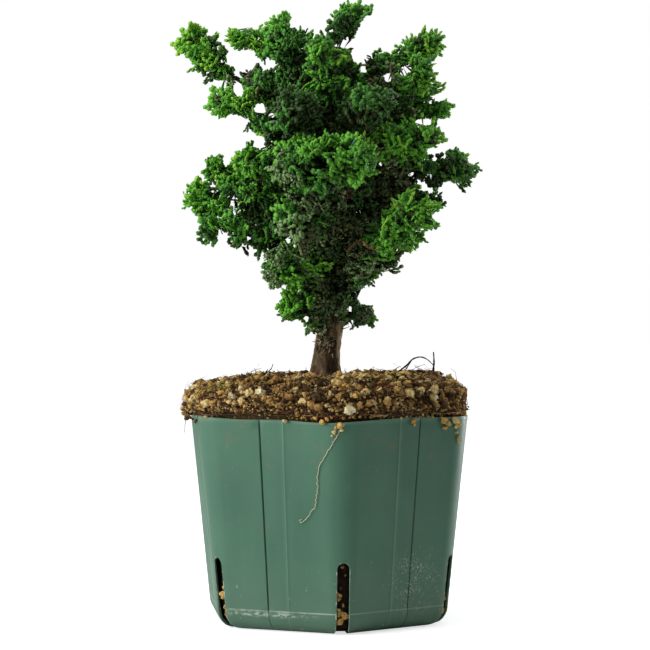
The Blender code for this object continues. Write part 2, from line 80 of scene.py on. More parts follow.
# A large softbox stands at the front left, weaker ones at the right, behind and above, over a white sweep.
# What the camera sees behind the plant is plain white, and a dimmer sky fills the shadows.
SOFTBOXES = {
    "key_softbox": ((-1010, -400, 470), 620, 12.2),
    "fill_softbox": ((960, -330, 300), 520, 0.4),
    "overhead_softbox": ((-80, -60, 900), 700, 4.6),
    "rim_softbox": ((760, 540, 180), 420, 6.0),
}  # place, size and power
SOFTBOX_AIM = (0, 0, 130)
WHITE = (1, 1, 1)
SKY_FILL = 0.06
FLOOR_COLOUR = (0.78, 0.78, 0.78)
FLOOR_HALF = 6000
FLOOR_GLOW = (0.66, 0.95)  # by the pot and far from it
FLOOR_FADE = (0.12, 0.7)  # metres

for name, (place, size, power) in SOFTBOXES.items():
    light = bpy.data.lights.new(name, "AREA")
    light.shape = "SQUARE"
    light.size = size * MM
    light.energy = power
    lamp = bpy.data.objects.new(name, light)
    lamp.location = Vector(place) * MM
    lamp.rotation_euler = (Vector(SOFTBOX_AIM) - Vector(place)).to_track_quat("-Z", "Y").to_euler()
    bpy.context.scene.collection.objects.link(lamp)


def node(tree, kind, inputs=None, **settings):
    """Adds one shader node. An input is a plain value, a colour of three, or the socket that feeds it."""
    made = tree.nodes.new(kind)
    for name, value in settings.items():
        setattr(made, name, value)
    for name, value in (inputs or {}).items():
        socket = made.inputs[name]
        if isinstance(value, bpy.types.NodeSocket):
            tree.links.new(value, socket)
        else:
            socket.default_value = (*value, 1) if socket.type == "RGBA" else value
    return made


def combine(tree, operation, *values):
    """Values and masks taken together one after another, each time kept between 0 and 1."""
    result = values[0]
    for value in values[1:]:
        made = node(tree, "ShaderNodeMath", {0: result, 1: value}, operation=operation, use_clamp=True)
        result = made.outputs["Value"]
    return result


def ramp(tree, value, start, end, low, high):
    """A value that goes from low to high while another goes from start to end."""
    limits = {"Value": value, "From Min": start, "From Max": end, "To Min": low, "To Max": high}
    return node(tree, "ShaderNodeMapRange", limits, clamp=True).outputs["Result"]


def plain_finish(name, colour, roughness, specular):
    """A material of one colour, with its shader and its tree for anything more."""
    made = bpy.data.materials.new(name)
    made.use_nodes = True
    tree = made.node_tree
    shader = tree.nodes["Principled BSDF"]
    shader.inputs["Base Color"].default_value = (*colour, 1)
    shader.inputs["Roughness"].default_value = roughness
    shader.inputs["Specular IOR Level"].default_value = specular
    return made, shader, tree


def object_place(tree):
    return node(tree, "ShaderNodeTexCoord").outputs["Object"]


studio = bpy.data.worlds.new("studio")
studio.use_nodes = True
bpy.context.scene.world = studio
sky = studio.node_tree
backdrop = sky.nodes["Background"]
backdrop.inputs["Color"].default_value = (*WHITE, 1)
ray = node(sky, "ShaderNodeLightPath").outputs
bright = combine(sky, "MAXIMUM", ray["Is Camera Ray"], ray["Is Glossy Ray"])
sky.links.new(ramp(sky, bright, 0.0, 1.0, SKY_FILL, 1.0), backdrop.inputs["Strength"])
bpy.context.scene.view_settings.view_transform = "Standard"

bpy.ops.mesh.primitive_plane_add(size=2 * FLOOR_HALF * MM)
floor = bpy.context.object
floor.name = "floor"
sweep, shader, tree = plain_finish("white_sweep", FLOOR_COLOUR, 0.7, 0.2)
shader.inputs["Emission Color"].default_value = (*WHITE, 1)
away = node(tree, "ShaderNodeVectorMath", {0: object_place(tree)}, operation="LENGTH").outputs["Value"]
seen = node(tree, "ShaderNodeLightPath").outputs["Is Camera Ray"]
glow = combine(tree, "MULTIPLY", seen, ramp(tree, away, *FLOOR_FADE, *FLOOR_GLOW))
tree.links.new(glow, shader.inputs["Emission Strength"])
floor.data.materials.append(sweep)

# The pot is blown from thin green plastic, six-sided with rounded corners, and worn from handling.
# A rib and a groove run up each side, a slit up each corner, and the foot rolls in under the wall.
POT_HEIGHT = 89.3
POT_TURN = math.radians(7)  # from the front to the nearest corner
RIM_APOTHEM = 57.4
RIM_CORNER = 14.0
FOOT_APOTHEM = 49.3
FOOT_CORNER = 11.0
ROLL = 8.0  # radius between wall and underside
WALL = 1.0
SLIT_WIDTH = 5.4
SLIT_TOP = 30.3
SLIT_INNER = 40.0  # how near to the axis a slit comes under the base
PUNCH_OUTER = 80.0  # how far out the shape that cuts a slit reaches
PUNCH_FOOT = -5.0
FOLD_HEIGHT = 8.9
SMEAR_PLACE = (-27, -46, 8)  # where the foot's fold is most scraped
SCUFF_PLACE = (41, -40, 19)
RIB = (0.43, 0.14, 0.5)  # place along a side, height and half width
GROOVE = (0.59, -0.55, 0.27)
SIDE_STOPS = 14  # evenly along a side, besides those over its rib and groove
RIM_SWAY = 0.45  # how far the rim waves in and out, and half as far up and down
SWAY_FROM = 45.0  # the wall is straight up to this height
RIM_DIPS = ((3, 1.7, 17), (-30, 0.5, 12), (150, 1.2, 20))  # angle from the front, depth, half width
CORNER_STEPS = 12
SIXTH = math.radians(60)
HALF_SIXTH = math.radians(30)
SHARP = math.radians(38)


def around(angle):
    """The level direction at an angle from the front, turning towards +X."""
    return Vector((math.sin(angle), -math.cos(angle), 0))


def mesh_piece(name, parts, finishes, smooth=True):
    """A piece that rides with the plant, joined from parts.

    A part is its points in millimetres, its faces, and the number of its finish or of each face's.
    """
    points = np.concatenate([np.asarray(part[0], float) for part in parts])
    faces = []
    first = 0
    for spots, rings, _ in parts:
        faces += [[first + n for n in ring] for ring in rings]
        first += len(spots)
    indices = np.concatenate([np.broadcast_to(finish, len(rings)) for _, rings, finish in parts])
    mesh = bpy.data.meshes.new(name)
    mesh.from_pydata(points * MM, [], faces)
    for finish in finishes:
        mesh.materials.append(finish)
    mesh.polygons.foreach_set("material_index", indices.astype(np.int32))
    mesh.polygons.foreach_set("use_smooth", np.full(len(mesh.polygons), smooth))
    piece = bpy.data.objects.new(name, mesh)
    bpy.context.scene.collection.objects.link(piece)
    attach(piece, "root")
    return piece


def ring_skin(rows, columns):
    """Quads between closed rings of points, and a cap at each end."""
    faces = []
    for low in range(0, (rows - 1) * columns, columns):
        high = low + columns
        for column in range(columns):
            after = (column + 1) % columns
            faces.append((low + column, low + after, high + after, high + column))
    return [*faces, tuple(reversed(range(columns))), tuple((rows - 1) * columns + k for k in range(columns))]


def side_stops(side):
    """Places along a side, closer together over the rib and the groove, with what each adds."""
    stops = [(share, 0.0) for share in np.linspace(0.06, 0.94, SIDE_STOPS)]
    half_face = RIM_APOTHEM * math.tan(HALF_SIXTH)
    for place, depth, half_width in (RIB, GROOVE):
        stops = [s for s in stops if abs(s[0] - place) * 2 * half_face > 2 * half_width + 0.4]
        for off in (-1, -0.6, -0.25, 0, 0.25, 0.6, 1):
            bump = depth * math.cos(off * math.pi / 2) ** 2
            stops.append((place + off * half_width / half_face, bump))
    stops.sort()
    return [(1 - share, bump) for share, bump in reversed(stops)] if side % 2 else stops


def pot_outline(apothem, corner, height, relief, sway):
    """One level ring of the pot's wall: each corner, and then the side after it."""
    ring = []
    reach = (apothem - corner) / math.cos(HALF_SIXTH)
    half_face = apothem * math.tan(HALF_SIXTH)
    for side in range(6):
        turn = POT_TURN + side * SIXTH
        for step in range(CORNER_STEPS + 1):
            bend = turn - HALF_SIXTH + SIXTH * step / CORNER_STEPS
            ring.append(around(turn) * reach + around(bend) * corner)
        normal = around(turn + HALF_SIXTH)
        along = UP.cross(normal)
        flat = 1 - corner * math.tan(HALF_SIXTH) / half_face
        for share, bump in side_stops(side):
            across = (2 * share - 1) * half_face
            across = max(-flat * half_face + 0.3, min(flat * half_face - 0.3, across))
            ring.append(normal * (apothem + relief * bump) + along * across)
    swayed = []
    for point in ring:
        angle = math.atan2(point.x, -point.y)
        wave = math.sin(5 * angle + 1) + 0.6 * math.sin(9 * angle) + 0.5 * math.sin(17 * angle + 2)
        out = 1 + RIM_SWAY * sway * wave / 2 / apothem
        lift = RIM_SWAY * sway * (math.sin(4 * angle + 0.5) + 0.7 * math.sin(11 * angle)) / 2
        for middle, depth, half_width in RIM_DIPS:
            lift -= depth * sway * math.exp(-(((math.degrees(angle) - middle) / half_width) ** 2))
        swayed.append(Vector((point.x * out, point.y * out, height + lift)))
    return swayed


def pot_level(height):
    """The wall's apothem and corner radius at a height."""
    share = (height - ROLL) / (POT_HEIGHT - ROLL)
    apothem = FOOT_APOTHEM + (RIM_APOTHEM - FOOT_APOTHEM) * share
    return apothem, FOOT_CORNER + (RIM_CORNER - FOOT_CORNER) * share


def wall_ring(height, inset, relief):
    apothem, corner = pot_level(height)
    sway = max(0.0, (height - SWAY_FROM) / (POT_HEIGHT - SWAY_FROM)) ** 2
    return pot_outline(apothem - inset, corner - inset, height, relief, sway)


def roll_ring(degrees, inset):
    angle = math.radians(degrees)
    radius = ROLL - inset
    pull = ROLL - radius * math.sin(angle)
    return pot_outline(FOOT_APOTHEM - pull, FOOT_CORNER - pull, ROLL - radius * math.cos(angle), 0, 0)


pot_rings = [roll_ring(0, 0)] + [roll_ring(a, 0) for a in range(12, 90, 13)]
pot_rings += [wall_ring(ROLL, 0, 0.3), wall_ring(ROLL + 1.2, 0, 1)]
pot_rings += [wall_ring(h, 0, 1) for h in np.linspace(11, 32, 11)]
pot_rings += [wall_ring(h, 0, 1) for h in np.linspace(36, POT_HEIGHT - 1.2, 14)]
pot_rings += [wall_ring(POT_HEIGHT - 0.4, 0.08, 0.6), wall_ring(POT_HEIGHT, 0.35, 0.2)]
pot_rings += [wall_ring(POT_HEIGHT, WALL - 0.35, 0), wall_ring(POT_HEIGHT - 0.4, WALL - 0.08, 0)]
pot_rings += [wall_ring(h, WALL, 0) for h in (POT_HEIGHT - 4, 60, 34, 30, 20, 12, ROLL)]
pot_rings += [roll_ring(a, WALL) for a in (60, 30, 0)]

# Down each groove the faces take a far darker finish, painted as the shade in the groove.
strips = []  # the finish between two columns of points: 1 down the groove, 2 along the rib's crest
for side in range(6):
    bumps = [bump for _, bump in side_stops(side)]
    strips += [0] * (CORNER_STEPS + 1)
    for here, after in zip(bumps, bumps[1:], strict=False):
        groove = max(here, after) < 0.3 * GROOVE[1]
        crest = min(here, after) > 0.8 * RIB[1]
        strips.append(1 if groove else 2 if crest else 0)
    strips.append(0)

FLOAT, VECTOR, COLOUR = "NodeSocketFloat", "NodeSocketVector", "NodeSocketColor"


def effect(name, inputs, outputs):
    """A node group for what several finishes share, with its named sockets."""
    group = bpy.data.node_groups.new(name, "ShaderNodeTree")
    for title, kind in inputs.items():
        group.interface.new_socket(title, in_out="INPUT", socket_type=kind)
    for title, kind in outputs.items():
        group.interface.new_socket(title, in_out="OUTPUT", socket_type=kind)
    return group, group.nodes.new("NodeGroupInput").outputs, group.nodes.new("NodeGroupOutput").inputs


# Soft specks: a noise that rises from black to white between two levels.
specks, given, result = effect(
    "soft_specks",
    {"Place": VECTOR, "Scale": FLOAT, "Detail": FLOAT, "Low": FLOAT, "High": FLOAT},
    {"Mask": FLOAT},
)
grain = {"Vector": given["Place"], "Scale": given["Scale"], "Detail": given["Detail"], "Roughness": 0.6}
grain = node(specks, "ShaderNodeTexNoise", grain).outputs["Fac"]
rise = {"Value": grain, "From Min": given["Low"], "From Max": given["High"]}
rise = node(specks, "ShaderNodeMapRange", rise, clamp=True, interpolation_type="SMOOTHSTEP")
specks.links.new(rise.outputs["Result"], result["Mask"])


def speckle(tree, place, scale, low, high, detail=4.0):
    """The shared soft specks, with a finish's own size and levels. A scale of three values stretches them."""
    if isinstance(scale, tuple):
        place = node(tree, "ShaderNodeMapping", {"Vector": place, "Scale": scale}).outputs["Vector"]
        scale = 1.0
    own = {"Place": place, "Scale": scale, "Detail": detail, "Low": low, "High": high}
    return node(tree, "ShaderNodeGroup", own, node_tree=specks).outputs["Mask"]


def blend(tree, share, first, second):
    """One colour laid over another by a mask."""
    return node(tree, "ShaderNodeMix", {"Factor": share, 6: first, 7: second}, data_type="RGBA").outputs[2]


def along_axis(tree, place, axis):
    return node(tree, "ShaderNodeSeparateXYZ", {"Vector": place}).outputs[axis]


def band(tree, value, middle, half_width):
    """White where a value lies near its middle, fading out over its half width."""
    off = node(tree, "ShaderNodeMath", {0: value, 1: middle}, operation="SUBTRACT").outputs[0]
    size = node(tree, "ShaderNodeMath", {0: off}, operation="ABSOLUTE").outputs[0]
    return ramp(tree, size, 0.0, half_width, 1.0, 0.0)


def near_point(tree, place, middle, radius):
    """White at a point, fading out over a radius in millimetres."""
    gap = node(tree, "ShaderNodeVectorMath", {0: place, 1: tuple(Vector(middle) * MM)}, operation="DISTANCE")
    return ramp(tree, gap.outputs["Value"], radius * 0.35 * MM, radius * MM, 1.0, 0.0)


def add_relief(tree, shader, height, strength, depth):
    """Lets a height in metres stand out of the surface."""
    relief = node(tree, "ShaderNodeBump", {"Height": height, "Strength": strength, "Distance": depth})
    tree.links.new(relief.outputs["Normal"], shader.inputs["Normal"])


# Dried earth: brown dust that lies in soft patches, thicker where its amount is higher.
DRY_EARTH = (0.2, 0.145, 0.075)
earth, given, result = effect(
    "dried_earth",
    {"Colour": COLOUR, "Place": VECTOR, "Amount": FLOAT},
    {"Colour": COLOUR, "Mask": FLOAT},
)
patches = speckle(earth, given["Place"], 95.0, 0.55, 0.75)
dust = speckle(earth, given["Place"], 900.0, 0.3, 0.62)
settled = combine(earth, "MULTIPLY", patches, dust, given["Amount"])
earth.links.new(blend(earth, settled, given["Colour"], DRY_EARTH), result["Colour"])
earth.links.new(settled, result["Mask"])

STREAK_COLOUR = (0.1, 0.215, 0.15)
SCRATCH_COLOUR = (0.5, 0.56, 0.47)
FOOT_COLOUR = (0.36, 0.4, 0.3)  # chalky, low on the wall
# Painted highlight: the colour that the rim's top pales towards.
RIM_HIGHLIGHT_COLOUR = (0.2, 0.33, 0.24)


def pot_plastic(name, dark, light, wear):
    """Worn plastic: flow streaks, dust, fine scratches, a white line where the foot was folded, and a painted
    highlight along the rim.
    """
    made, shader, tree = plain_finish(name, dark, 0.45, 0.3)
    place = object_place(tree)
    height = along_axis(tree, place, "Z")
    flow = speckle(tree, place, (120.0, 120.0, 9.0), 0.4, 0.75)
    colour = blend(tree, speckle(tree, place, 22.0, 0.35, 0.7), dark, light)
    colour = blend(tree, combine(tree, "MULTIPLY", flow, 0.22), colour, STREAK_COLOUR)

    fold = band(tree, height, FOLD_HEIGHT * MM, 0.00042)
    rightwards = ramp(tree, along_axis(tree, place, "X"), 0.0, 0.016, 1.0, 0.4)
    fold = combine(tree, "MULTIPLY", fold, speckle(tree, place, 60.0, 0.32, 0.55), rightwards)
    smear = band(tree, height, (FOLD_HEIGHT - 1.4) * MM, 0.0017)
    streaks = speckle(tree, place, (380.0, 380.0, 1064.0), 0.48, 0.56)
    smear = combine(tree, "MULTIPLY", smear, streaks, near_point(tree, place, SMEAR_PLACE, 26.0))
    nicks = speckle(tree, place, (700.0, 700.0, 240.0), 0.71, 0.75, 2.0)
    nicks = combine(tree, "MULTIPLY", nicks, ramp(tree, height, 0.004, 0.036, 1.0, 0.12))
    scuff = combine(
        tree,
        "MULTIPLY",
        speckle(tree, place, 1300.0, 0.54, 0.63),
        near_point(tree, place, SCUFF_PLACE, 19.0),
        speckle(tree, place, 160.0, 0.36, 0.56),
    )
    flecks = combine(tree, "MULTIPLY", speckle(tree, place, 1600.0, 0.735, 0.77, 2.0), 0.7)
    worn = combine(tree, "ADD", fold, smear, nicks, scuff, flecks)
    colour = blend(tree, combine(tree, "MULTIPLY", worn, wear), colour, SCRATCH_COLOUR)
    colour = blend(tree, ramp(tree, height, 0.005, 0.034, 0.1, 0.0), colour, FOOT_COLOUR)
    # Painted highlight: the plastic pales over the last few millimetres to the rim.
    rim_highlight = ramp(tree, height, POT_HEIGHT * MM - 0.0026, POT_HEIGHT * MM - 0.0004, 0.0, 0.35)
    colour = blend(tree, rim_highlight, colour, RIM_HIGHLIGHT_COLOUR)
    amount = ramp(tree, height, 0.06, 0.088, 0.12, 0.75)
    dusty = {"Colour": colour, "Place": place, "Amount": amount}
    dusty = node(tree, "ShaderNodeGroup", dusty, node_tree=earth).outputs
    tree.links.new(dusty["Colour"], shader.inputs["Base Color"])
    matt = combine(tree, "ADD", worn, flow, dusty["Mask"])
    tree.links.new(ramp(tree, matt, 0.0, 1.0, 0.4, 0.66), shader.inputs["Roughness"])
    ripple = node(tree, "ShaderNodeTexNoise", {"Vector": place, "Scale": 70.0, "Detail": 3.0})
    add_relief(tree, shader, ripple.outputs["Fac"], 0.12, 0.0004)
    return made


# The groove's finish is the same plastic painted much darker, as shade.
pot_finishes = [
    pot_plastic("pot_plastic", (0.055, 0.148, 0.096), (0.069, 0.175, 0.111), 0.8),
    pot_plastic("pot_groove_painted_shade", (0.012, 0.034, 0.022), (0.02, 0.05, 0.032), 0.4),
    pot_plastic("pot_crest", (0.085, 0.195, 0.135), (0.125, 0.245, 0.175), 0.8),
]
pot_skin = ring_skin(len(pot_rings), len(strips))
pot_part = (np.concatenate(pot_rings), pot_skin, strips * (len(pot_rings) - 1) + [0, 0])
pot = mesh_piece("slit_pot", [pot_part], pot_finishes)

# Each slit is punched out: straight up to a round top, and on under the base.
cutters = bpy.data.collections.new("slit_punches")
bpy.context.scene.collection.children.link(cutters)
half_slit = SLIT_WIDTH / 2
punch = [(-half_slit, PUNCH_FOOT), (half_slit, PUNCH_FOOT)]
for turn in np.linspace(0, math.pi, 13):
    punch.append((half_slit * math.cos(turn), SLIT_TOP - half_slit + half_slit * math.sin(turn)))
for k in range(6):
    out = around(POT_TURN + k * SIXTH)
    along = UP.cross(out)
    ends = [out * far + along * s + UP * z for far in (SLIT_INNER, PUNCH_OUTER) for s, z in punch]
    mesh = bpy.data.meshes.new(f"punch_{k}")
    mesh.from_pydata([p * MM for p in ends], [], ring_skin(2, len(punch)))
    shell = bmesh.new()
    shell.from_mesh(mesh)
    bmesh.ops.recalc_face_normals(shell, faces=shell.faces)
    shell.to_mesh(mesh)
    shell.free()
    cutters.objects.link(bpy.data.objects.new(f"punch_{k}", mesh))
cut = pot.modifiers.new("slits", "BOOLEAN")
cut.operand_type = "COLLECTION"
cut.collection = cutters
cut.solver = "EXACT"
graph = bpy.context.evaluated_depsgraph_get()
graph.update()
pot_mesh = bpy.data.meshes.new_from_object(pot.evaluated_get(graph))
pot.modifiers.clear()
pot.data = pot_mesh
for cutter in list(cutters.objects):
    bpy.data.objects.remove(cutter)
bpy.data.collections.remove(cutters)
pot_mesh.shade_smooth()
pot_mesh.set_sharp_from_angle(angle=SHARP)
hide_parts("pot")

# The edge of each slit was drawn up and whitened where the punch went through, as a thin uneven lip.
# It follows the slit up one side, over the round top and down the other.
LIP_RADIUS = 0.27
LIP_ASIDE = 0.12  # from the slit's edge
LIP_SUNK = -0.25  # into the wall
LIP_FOOT = 1.2


def tube(path, radii, sides):
    """Points and faces of a tube along a path, with the ring at each point square to it."""
    points = []
    side = None
    for k, point in enumerate(path):
        ahead = (path[min(k + 1, len(path) - 1)] - path[max(k - 1, 0)]).normalized()
        if side is None:
            side = ahead.orthogonal().normalized()
        side = (side - ahead * side.dot(ahead)).normalized()
        up = ahead.cross(side)
        for n in range(sides):
            turn = 2 * math.pi * n / sides
            points.append(point + (side * math.cos(turn) + up * math.sin(turn)) * radii[k])
    return points, ring_skin(len(path), sides)


def pot_radius(angle, apothem, corner):
    """How far the rounded hexagon reaches at an angle from the front."""
    off = abs((angle - POT_TURN + HALF_SIXTH) % SIXTH - HALF_SIXTH)
    if apothem * math.tan(HALF_SIXTH - off) <= (apothem - corner) * math.tan(HALF_SIXTH):
        return apothem / math.cos(HALF_SIXTH - off)
    reach = (apothem - corner) / math.cos(HALF_SIXTH)
    return reach * math.cos(off) + math.sqrt(corner**2 - (reach * math.sin(off)) ** 2)


def on_pot(angle, height, proud=0.0):
    """A point on the pot's outside."""
    apothem, corner = pot_level(max(height, ROLL))
    if height < ROLL:
        pull = ROLL - math.sqrt(ROLL**2 - (ROLL - height) ** 2)
        apothem -= pull
        corner -= pull
    return around(angle) * (pot_radius(angle, apothem, corner) + proud) + UP * height


lip_parts = []
half = half_slit + LIP_ASIDE
left = [(-half, h) for h in np.linspace(LIP_FOOT, SLIT_TOP - half_slit, 18)]
arch = [(-half * math.cos(a), SLIT_TOP - half_slit + half * math.sin(a)) for a in np.linspace(0, math.pi, 10)]
for k in range(6):
    turn = POT_TURN + k * SIXTH
    path = []
    for across, level in left + arch[1:-1] + [(half, h) for _, h in reversed(left)]:
        reach = on_pot(turn, level).xy.length
        path.append(on_pot(turn + math.asin(across / reach), level, LIP_SUNK))
    wobble = random.Random(40 + k)
    thick = [LIP_RADIUS * wobble.uniform(0.7, 1.15) for _ in path]
    lip_parts.append((*tube(path, thick, 6), 0))
lip_finish, shader, tree = plain_finish("whitened_plastic", (0.3, 0.4, 0.3), 0.5, 0.5)
chalk = speckle(tree, object_place(tree), 170.0, 0.4, 0.62)
chalk = blend(tree, chalk, (0.14, 0.27, 0.19), (0.46, 0.54, 0.44))
tree.links.new(chalk, shader.inputs["Base Color"])
lips = mesh_piece("slit_lips", lip_parts, [lip_finish])

# The root ball is clay granules held together by fine roots, heaped level above the pot's rim.
# It slumps over the rim most at the left, and its inside shows down each slit, painted near black as shade.
SOIL_TOP = 104.7
SOIL_SIDES = 40
SOIL_OVERHANG = 1.2
SOIL_LEFT_OVERHANG = 2.6
SOIL_SLOPE = 0.028  # the top rises to the right
SOIL_CLODS = (
    (POT_HEIGHT + 1.4, 1.2, 0.3),
    (POT_HEIGHT + 4.5, 1.0, 0.8),
    (POT_HEIGHT + 8.5, 2.2, 1.3),
    (POT_HEIGHT + 12, 6.5, 1.3),
    (SOIL_TOP - 0.8, 14, 1.3),
    (SOIL_TOP, 25, 1.3),
    (SOIL_TOP, 37, 0.6),
)  # height, how far in from the widest ring, and how much the clods stand up or sink in
COLLAR = (12.0, 104.75)  # radius and height of the level ring of soil round the trunk
SOIL_TURNS = 200
SOIL_ROWS = 64
INSIDE_LEVELS = [(WALL + 0.5, 5.5), (3.6, 2.6), (ROLL, 1.7)]  # height and how far in from the pot's outside
INSIDE_LEVELS += [(h, 1.7) for h in np.linspace(12, 34, 12)] + [(60.0, 1.5), (POT_HEIGHT - 3, 1.5)]
SLITS_OVER = 40.0  # no slit shows the inside above this

clod_rng = random.Random(11)
soil_grid = []
for level, inset, lump in SOIL_CLODS:
    ring = []
    for k in range(SOIL_SIDES):
        angle = 2 * math.pi * k / SOIL_SIDES
        out = pot_radius(angle, RIM_APOTHEM, RIM_CORNER) * 0.6 + (RIM_APOTHEM + 1.5) * 0.4
        out += SOIL_OVERHANG + SOIL_LEFT_OVERHANG * max(0.0, -math.sin(angle)) - inset
        out += clod_rng.uniform(-lump, lump)
        rise = SOIL_SLOPE * out * math.sin(angle) * (level - POT_HEIGHT) / (SOIL_TOP - POT_HEIGHT)
        ring.append((out, level + rise + clod_rng.uniform(-lump, lump)))
    soil_grid.append(ring)
soil_grid.append([COLLAR] * SOIL_SIDES)


def soil_point(angle, share):
    """A place on the heap, from the pot's rim (0) to the trunk (1)."""
    row = min(max(share, 0.0), 1.0) * (len(soil_grid) - 1)
    low = min(int(row), len(soil_grid) - 2)
    column = (angle / (2 * math.pi) % 1) * SOIL_SIDES
    left = int(column) % SOIL_SIDES
    right = (left + 1) % SOIL_SIDES
    up, along = row - low, column - int(column)
    values = []
    for n in (0, 1):
        near = soil_grid[low][left][n] * (1 - along) + soil_grid[low][right][n] * along
        far = soil_grid[low + 1][left][n] * (1 - along) + soil_grid[low + 1][right][n] * along
        values.append(near * (1 - up) + far * up)
    return around(angle) * values[0] + UP * values[1]


def on_soil(angle, share, proud):
    """A point that stands out of the heap by a distance."""
    low, high = soil_point(angle, max(share - 0.02, 0)), soil_point(angle, min(share + 0.02, 1))
    side = soil_point(angle + 0.02, share) - soil_point(angle - 0.02, share)
    return soil_point(angle, share) + side.cross(high - low).normalized() * proud


soil_points = []
turns = [2 * math.pi * k / SOIL_TURNS for k in range(SOIL_TURNS)]
for level, inset in INSIDE_LEVELS:
    apothem, corner = pot_level(max(level, ROLL))
    for angle in turns:
        out = pot_radius(angle, apothem - inset - 0.4, corner - inset - 0.4)
        spot = around(angle) * out + UP * level
        dent = 0.9 * noise.fractal(spot * 0.45, 1.0, 2.0, 3) if level < SLITS_OVER else 0
        soil_points.append(spot + around(angle) * (dent - 0.9))
for share in (row / (SOIL_ROWS - 1) for row in range(SOIL_ROWS)):
    for angle in turns:
        lump = 0.7 * noise.fractal(soil_point(angle, share) * 0.3, 1.0, 2.0, 4) - 0.8
        soil_points.append(on_soil(angle, share, lump))

# Crumbs: a grainy colour between dark and light, and the pits between them, which sink and are painted darker
# as shade, for soil and clay.
crumbs, given, result = effect(
    "crumbs",
    {"Place": VECTOR, "Scale": FLOAT, "Dark": COLOUR, "Light": COLOUR},
    {"Colour": COLOUR, "Height": FLOAT},
)
cells = node(crumbs, "ShaderNodeTexVoronoi", {"Vector": given["Place"], "Scale": given["Scale"]})
# Painted shade: the colour goes dark towards each crumb's edge, in the pits between them.
pit_shade = ramp(crumbs, cells.outputs["Distance"], 0.1, 0.75, 1.0, 0.0)
fine = speckle(crumbs, given["Place"], 2600.0, 0.25, 0.75)
tint = combine(crumbs, "ADD", combine(crumbs, "MULTIPLY", pit_shade, 0.55), combine(crumbs, "MULTIPLY", fine, 0.5))
crumbs.links.new(blend(crumbs, tint, given["Dark"], given["Light"]), result["Colour"])
crumbs.links.new(tint, result["Height"])


def crumbly(name, dark, light, scale, depth):
    """A dull finish that is all crumbs."""
    made, shader, tree = plain_finish(name, light, 0.95, 0.12)
    own = {"Place": object_place(tree), "Scale": scale, "Dark": dark, "Light": light}
    grainy = node(tree, "ShaderNodeGroup", own, node_tree=crumbs).outputs
    tree.links.new(grainy["Colour"], shader.inputs["Base Color"])
    add_relief(tree, shader, grainy["Height"], 1.0, depth * MM)
    return made


# The ball's inside, seen down the slits, has a near-black finish that paints the shade there.
soil_finishes = [
    crumbly("soil_in_painted_shade", (0.004, 0.003, 0.002), (0.04, 0.024, 0.012), 600.0, 0.4),
    # The top is a dark soil, painted darker still as the shade between the grains that lie on it.
    crumbly("fine_soil_painted_shade", (0.012, 0.008, 0.004), (0.14, 0.08, 0.03), 700.0, 0.5),
]
inner, rows = len(INSIDE_LEVELS) - 1, len(INSIDE_LEVELS) + SOIL_ROWS
soil_indices = [0] * inner * SOIL_TURNS + [1] * (rows - 1 - inner) * SOIL_TURNS + [0, 1]
soil = mesh_piece("root_ball", [(soil_points, ring_skin(rows, SOIL_TURNS), soil_indices)], soil_finishes)
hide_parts("soil")

# The granules are fired clay, from dust to pea size, tan and ochre with a few pale stones.
# They lie all over the heap, and some have fallen into the slits or stuck to the wet pot.
GRAIN_COLOURS = {
    "clay_tan": ((0.44, 0.31, 0.115), (0.93, 0.74, 0.35)),
    "clay_ochre": ((0.31, 0.18, 0.048), (0.86, 0.56, 0.165)),
    "clay_brown": ((0.12, 0.066, 0.022), (0.54, 0.32, 0.105)),
    "clay_dark": ((0.014, 0.009, 0.005), (0.14, 0.08, 0.032)),
    "stone_pale": ((0.52, 0.45, 0.24), (0.86, 0.78, 0.5)),
    "moss": ((0.13, 0.14, 0.02), (0.46, 0.48, 0.08)),
}
TAN, OCHRE, BROWN_CLAY, DARK_CLAY, PALE_STONE, MOSS = range(6)
GRAIN_SHARES = (0.27, 0.33, 0.21, 0.185, 0.005)
# Brown clods thin out to the right, which pales the heap's right side as painted light.
CLOD_FADE_PAINTED_LIGHT = 0.008  # for each millimetre to the right, how much rarer brown clods are
GRAIN_COUNT = 7400
LARGEST_GRAIN = 1.9
RIM_CRUMBS = 2000
CRUMB_SHARES = (0.14, 0.28, 0.32, 0.26)
SLUMPED = 70  # grains that hang over the rim at the far left
MOSS_COUNT = 380
MOSS_PLACES = ((-1.15, 0.42), (-0.95, 0.6), (0.5, 0.66), (-0.1, 0.8), (-1.35, 0.3))  # angle, share
LARGE_GRAIN = 1.45  # radius from which a grain gets the finer shape
FINE_FRONT = 25.0  # and how far back
DUST = 0.8  # radius below which grains make up a piece of their own
SPECK = 0.56  # radius below which a grain is eight-sided
# Pixels of the photograph's 650 by 650 frame, and radius.
PALE_STONES = ((262, 396, 2.6), (232, 398, 1.6), (350, 410, 2.0), (394, 390, 1.3), (433, 399, 1.5))
STUCK_GRAINS = (
    (285, 421, 1.1), (315, 418, 1.3), (322, 422, 1.6), (327, 419, 1.2), (336, 428, 1.1),
    (340, 426, 1.6), (334, 432, 1.0), (342, 430, 1.0), (332, 436, 0.8), (414, 421, 1.4),
    (414, 424, 1.2), (444, 420, 1.7), (448, 424, 1.5), (445, 428, 1.1), (456, 421, 1.6),
    (459, 425, 1.3), (457, 432, 0.9), (458, 437, 1.0), (459, 441, 1.2), (456, 427, 1.0),
)


def shape_of(subdivisions):
    """Unit points and triangles of a round lump."""
    ball = bmesh.new()
    bmesh.ops.create_icosphere(ball, subdivisions=subdivisions, radius=1)
    points = np.array([v.co[:] for v in ball.verts])
    faces = [[v.index for v in f.verts] for f in ball.faces]
    ball.free()
    return points, faces


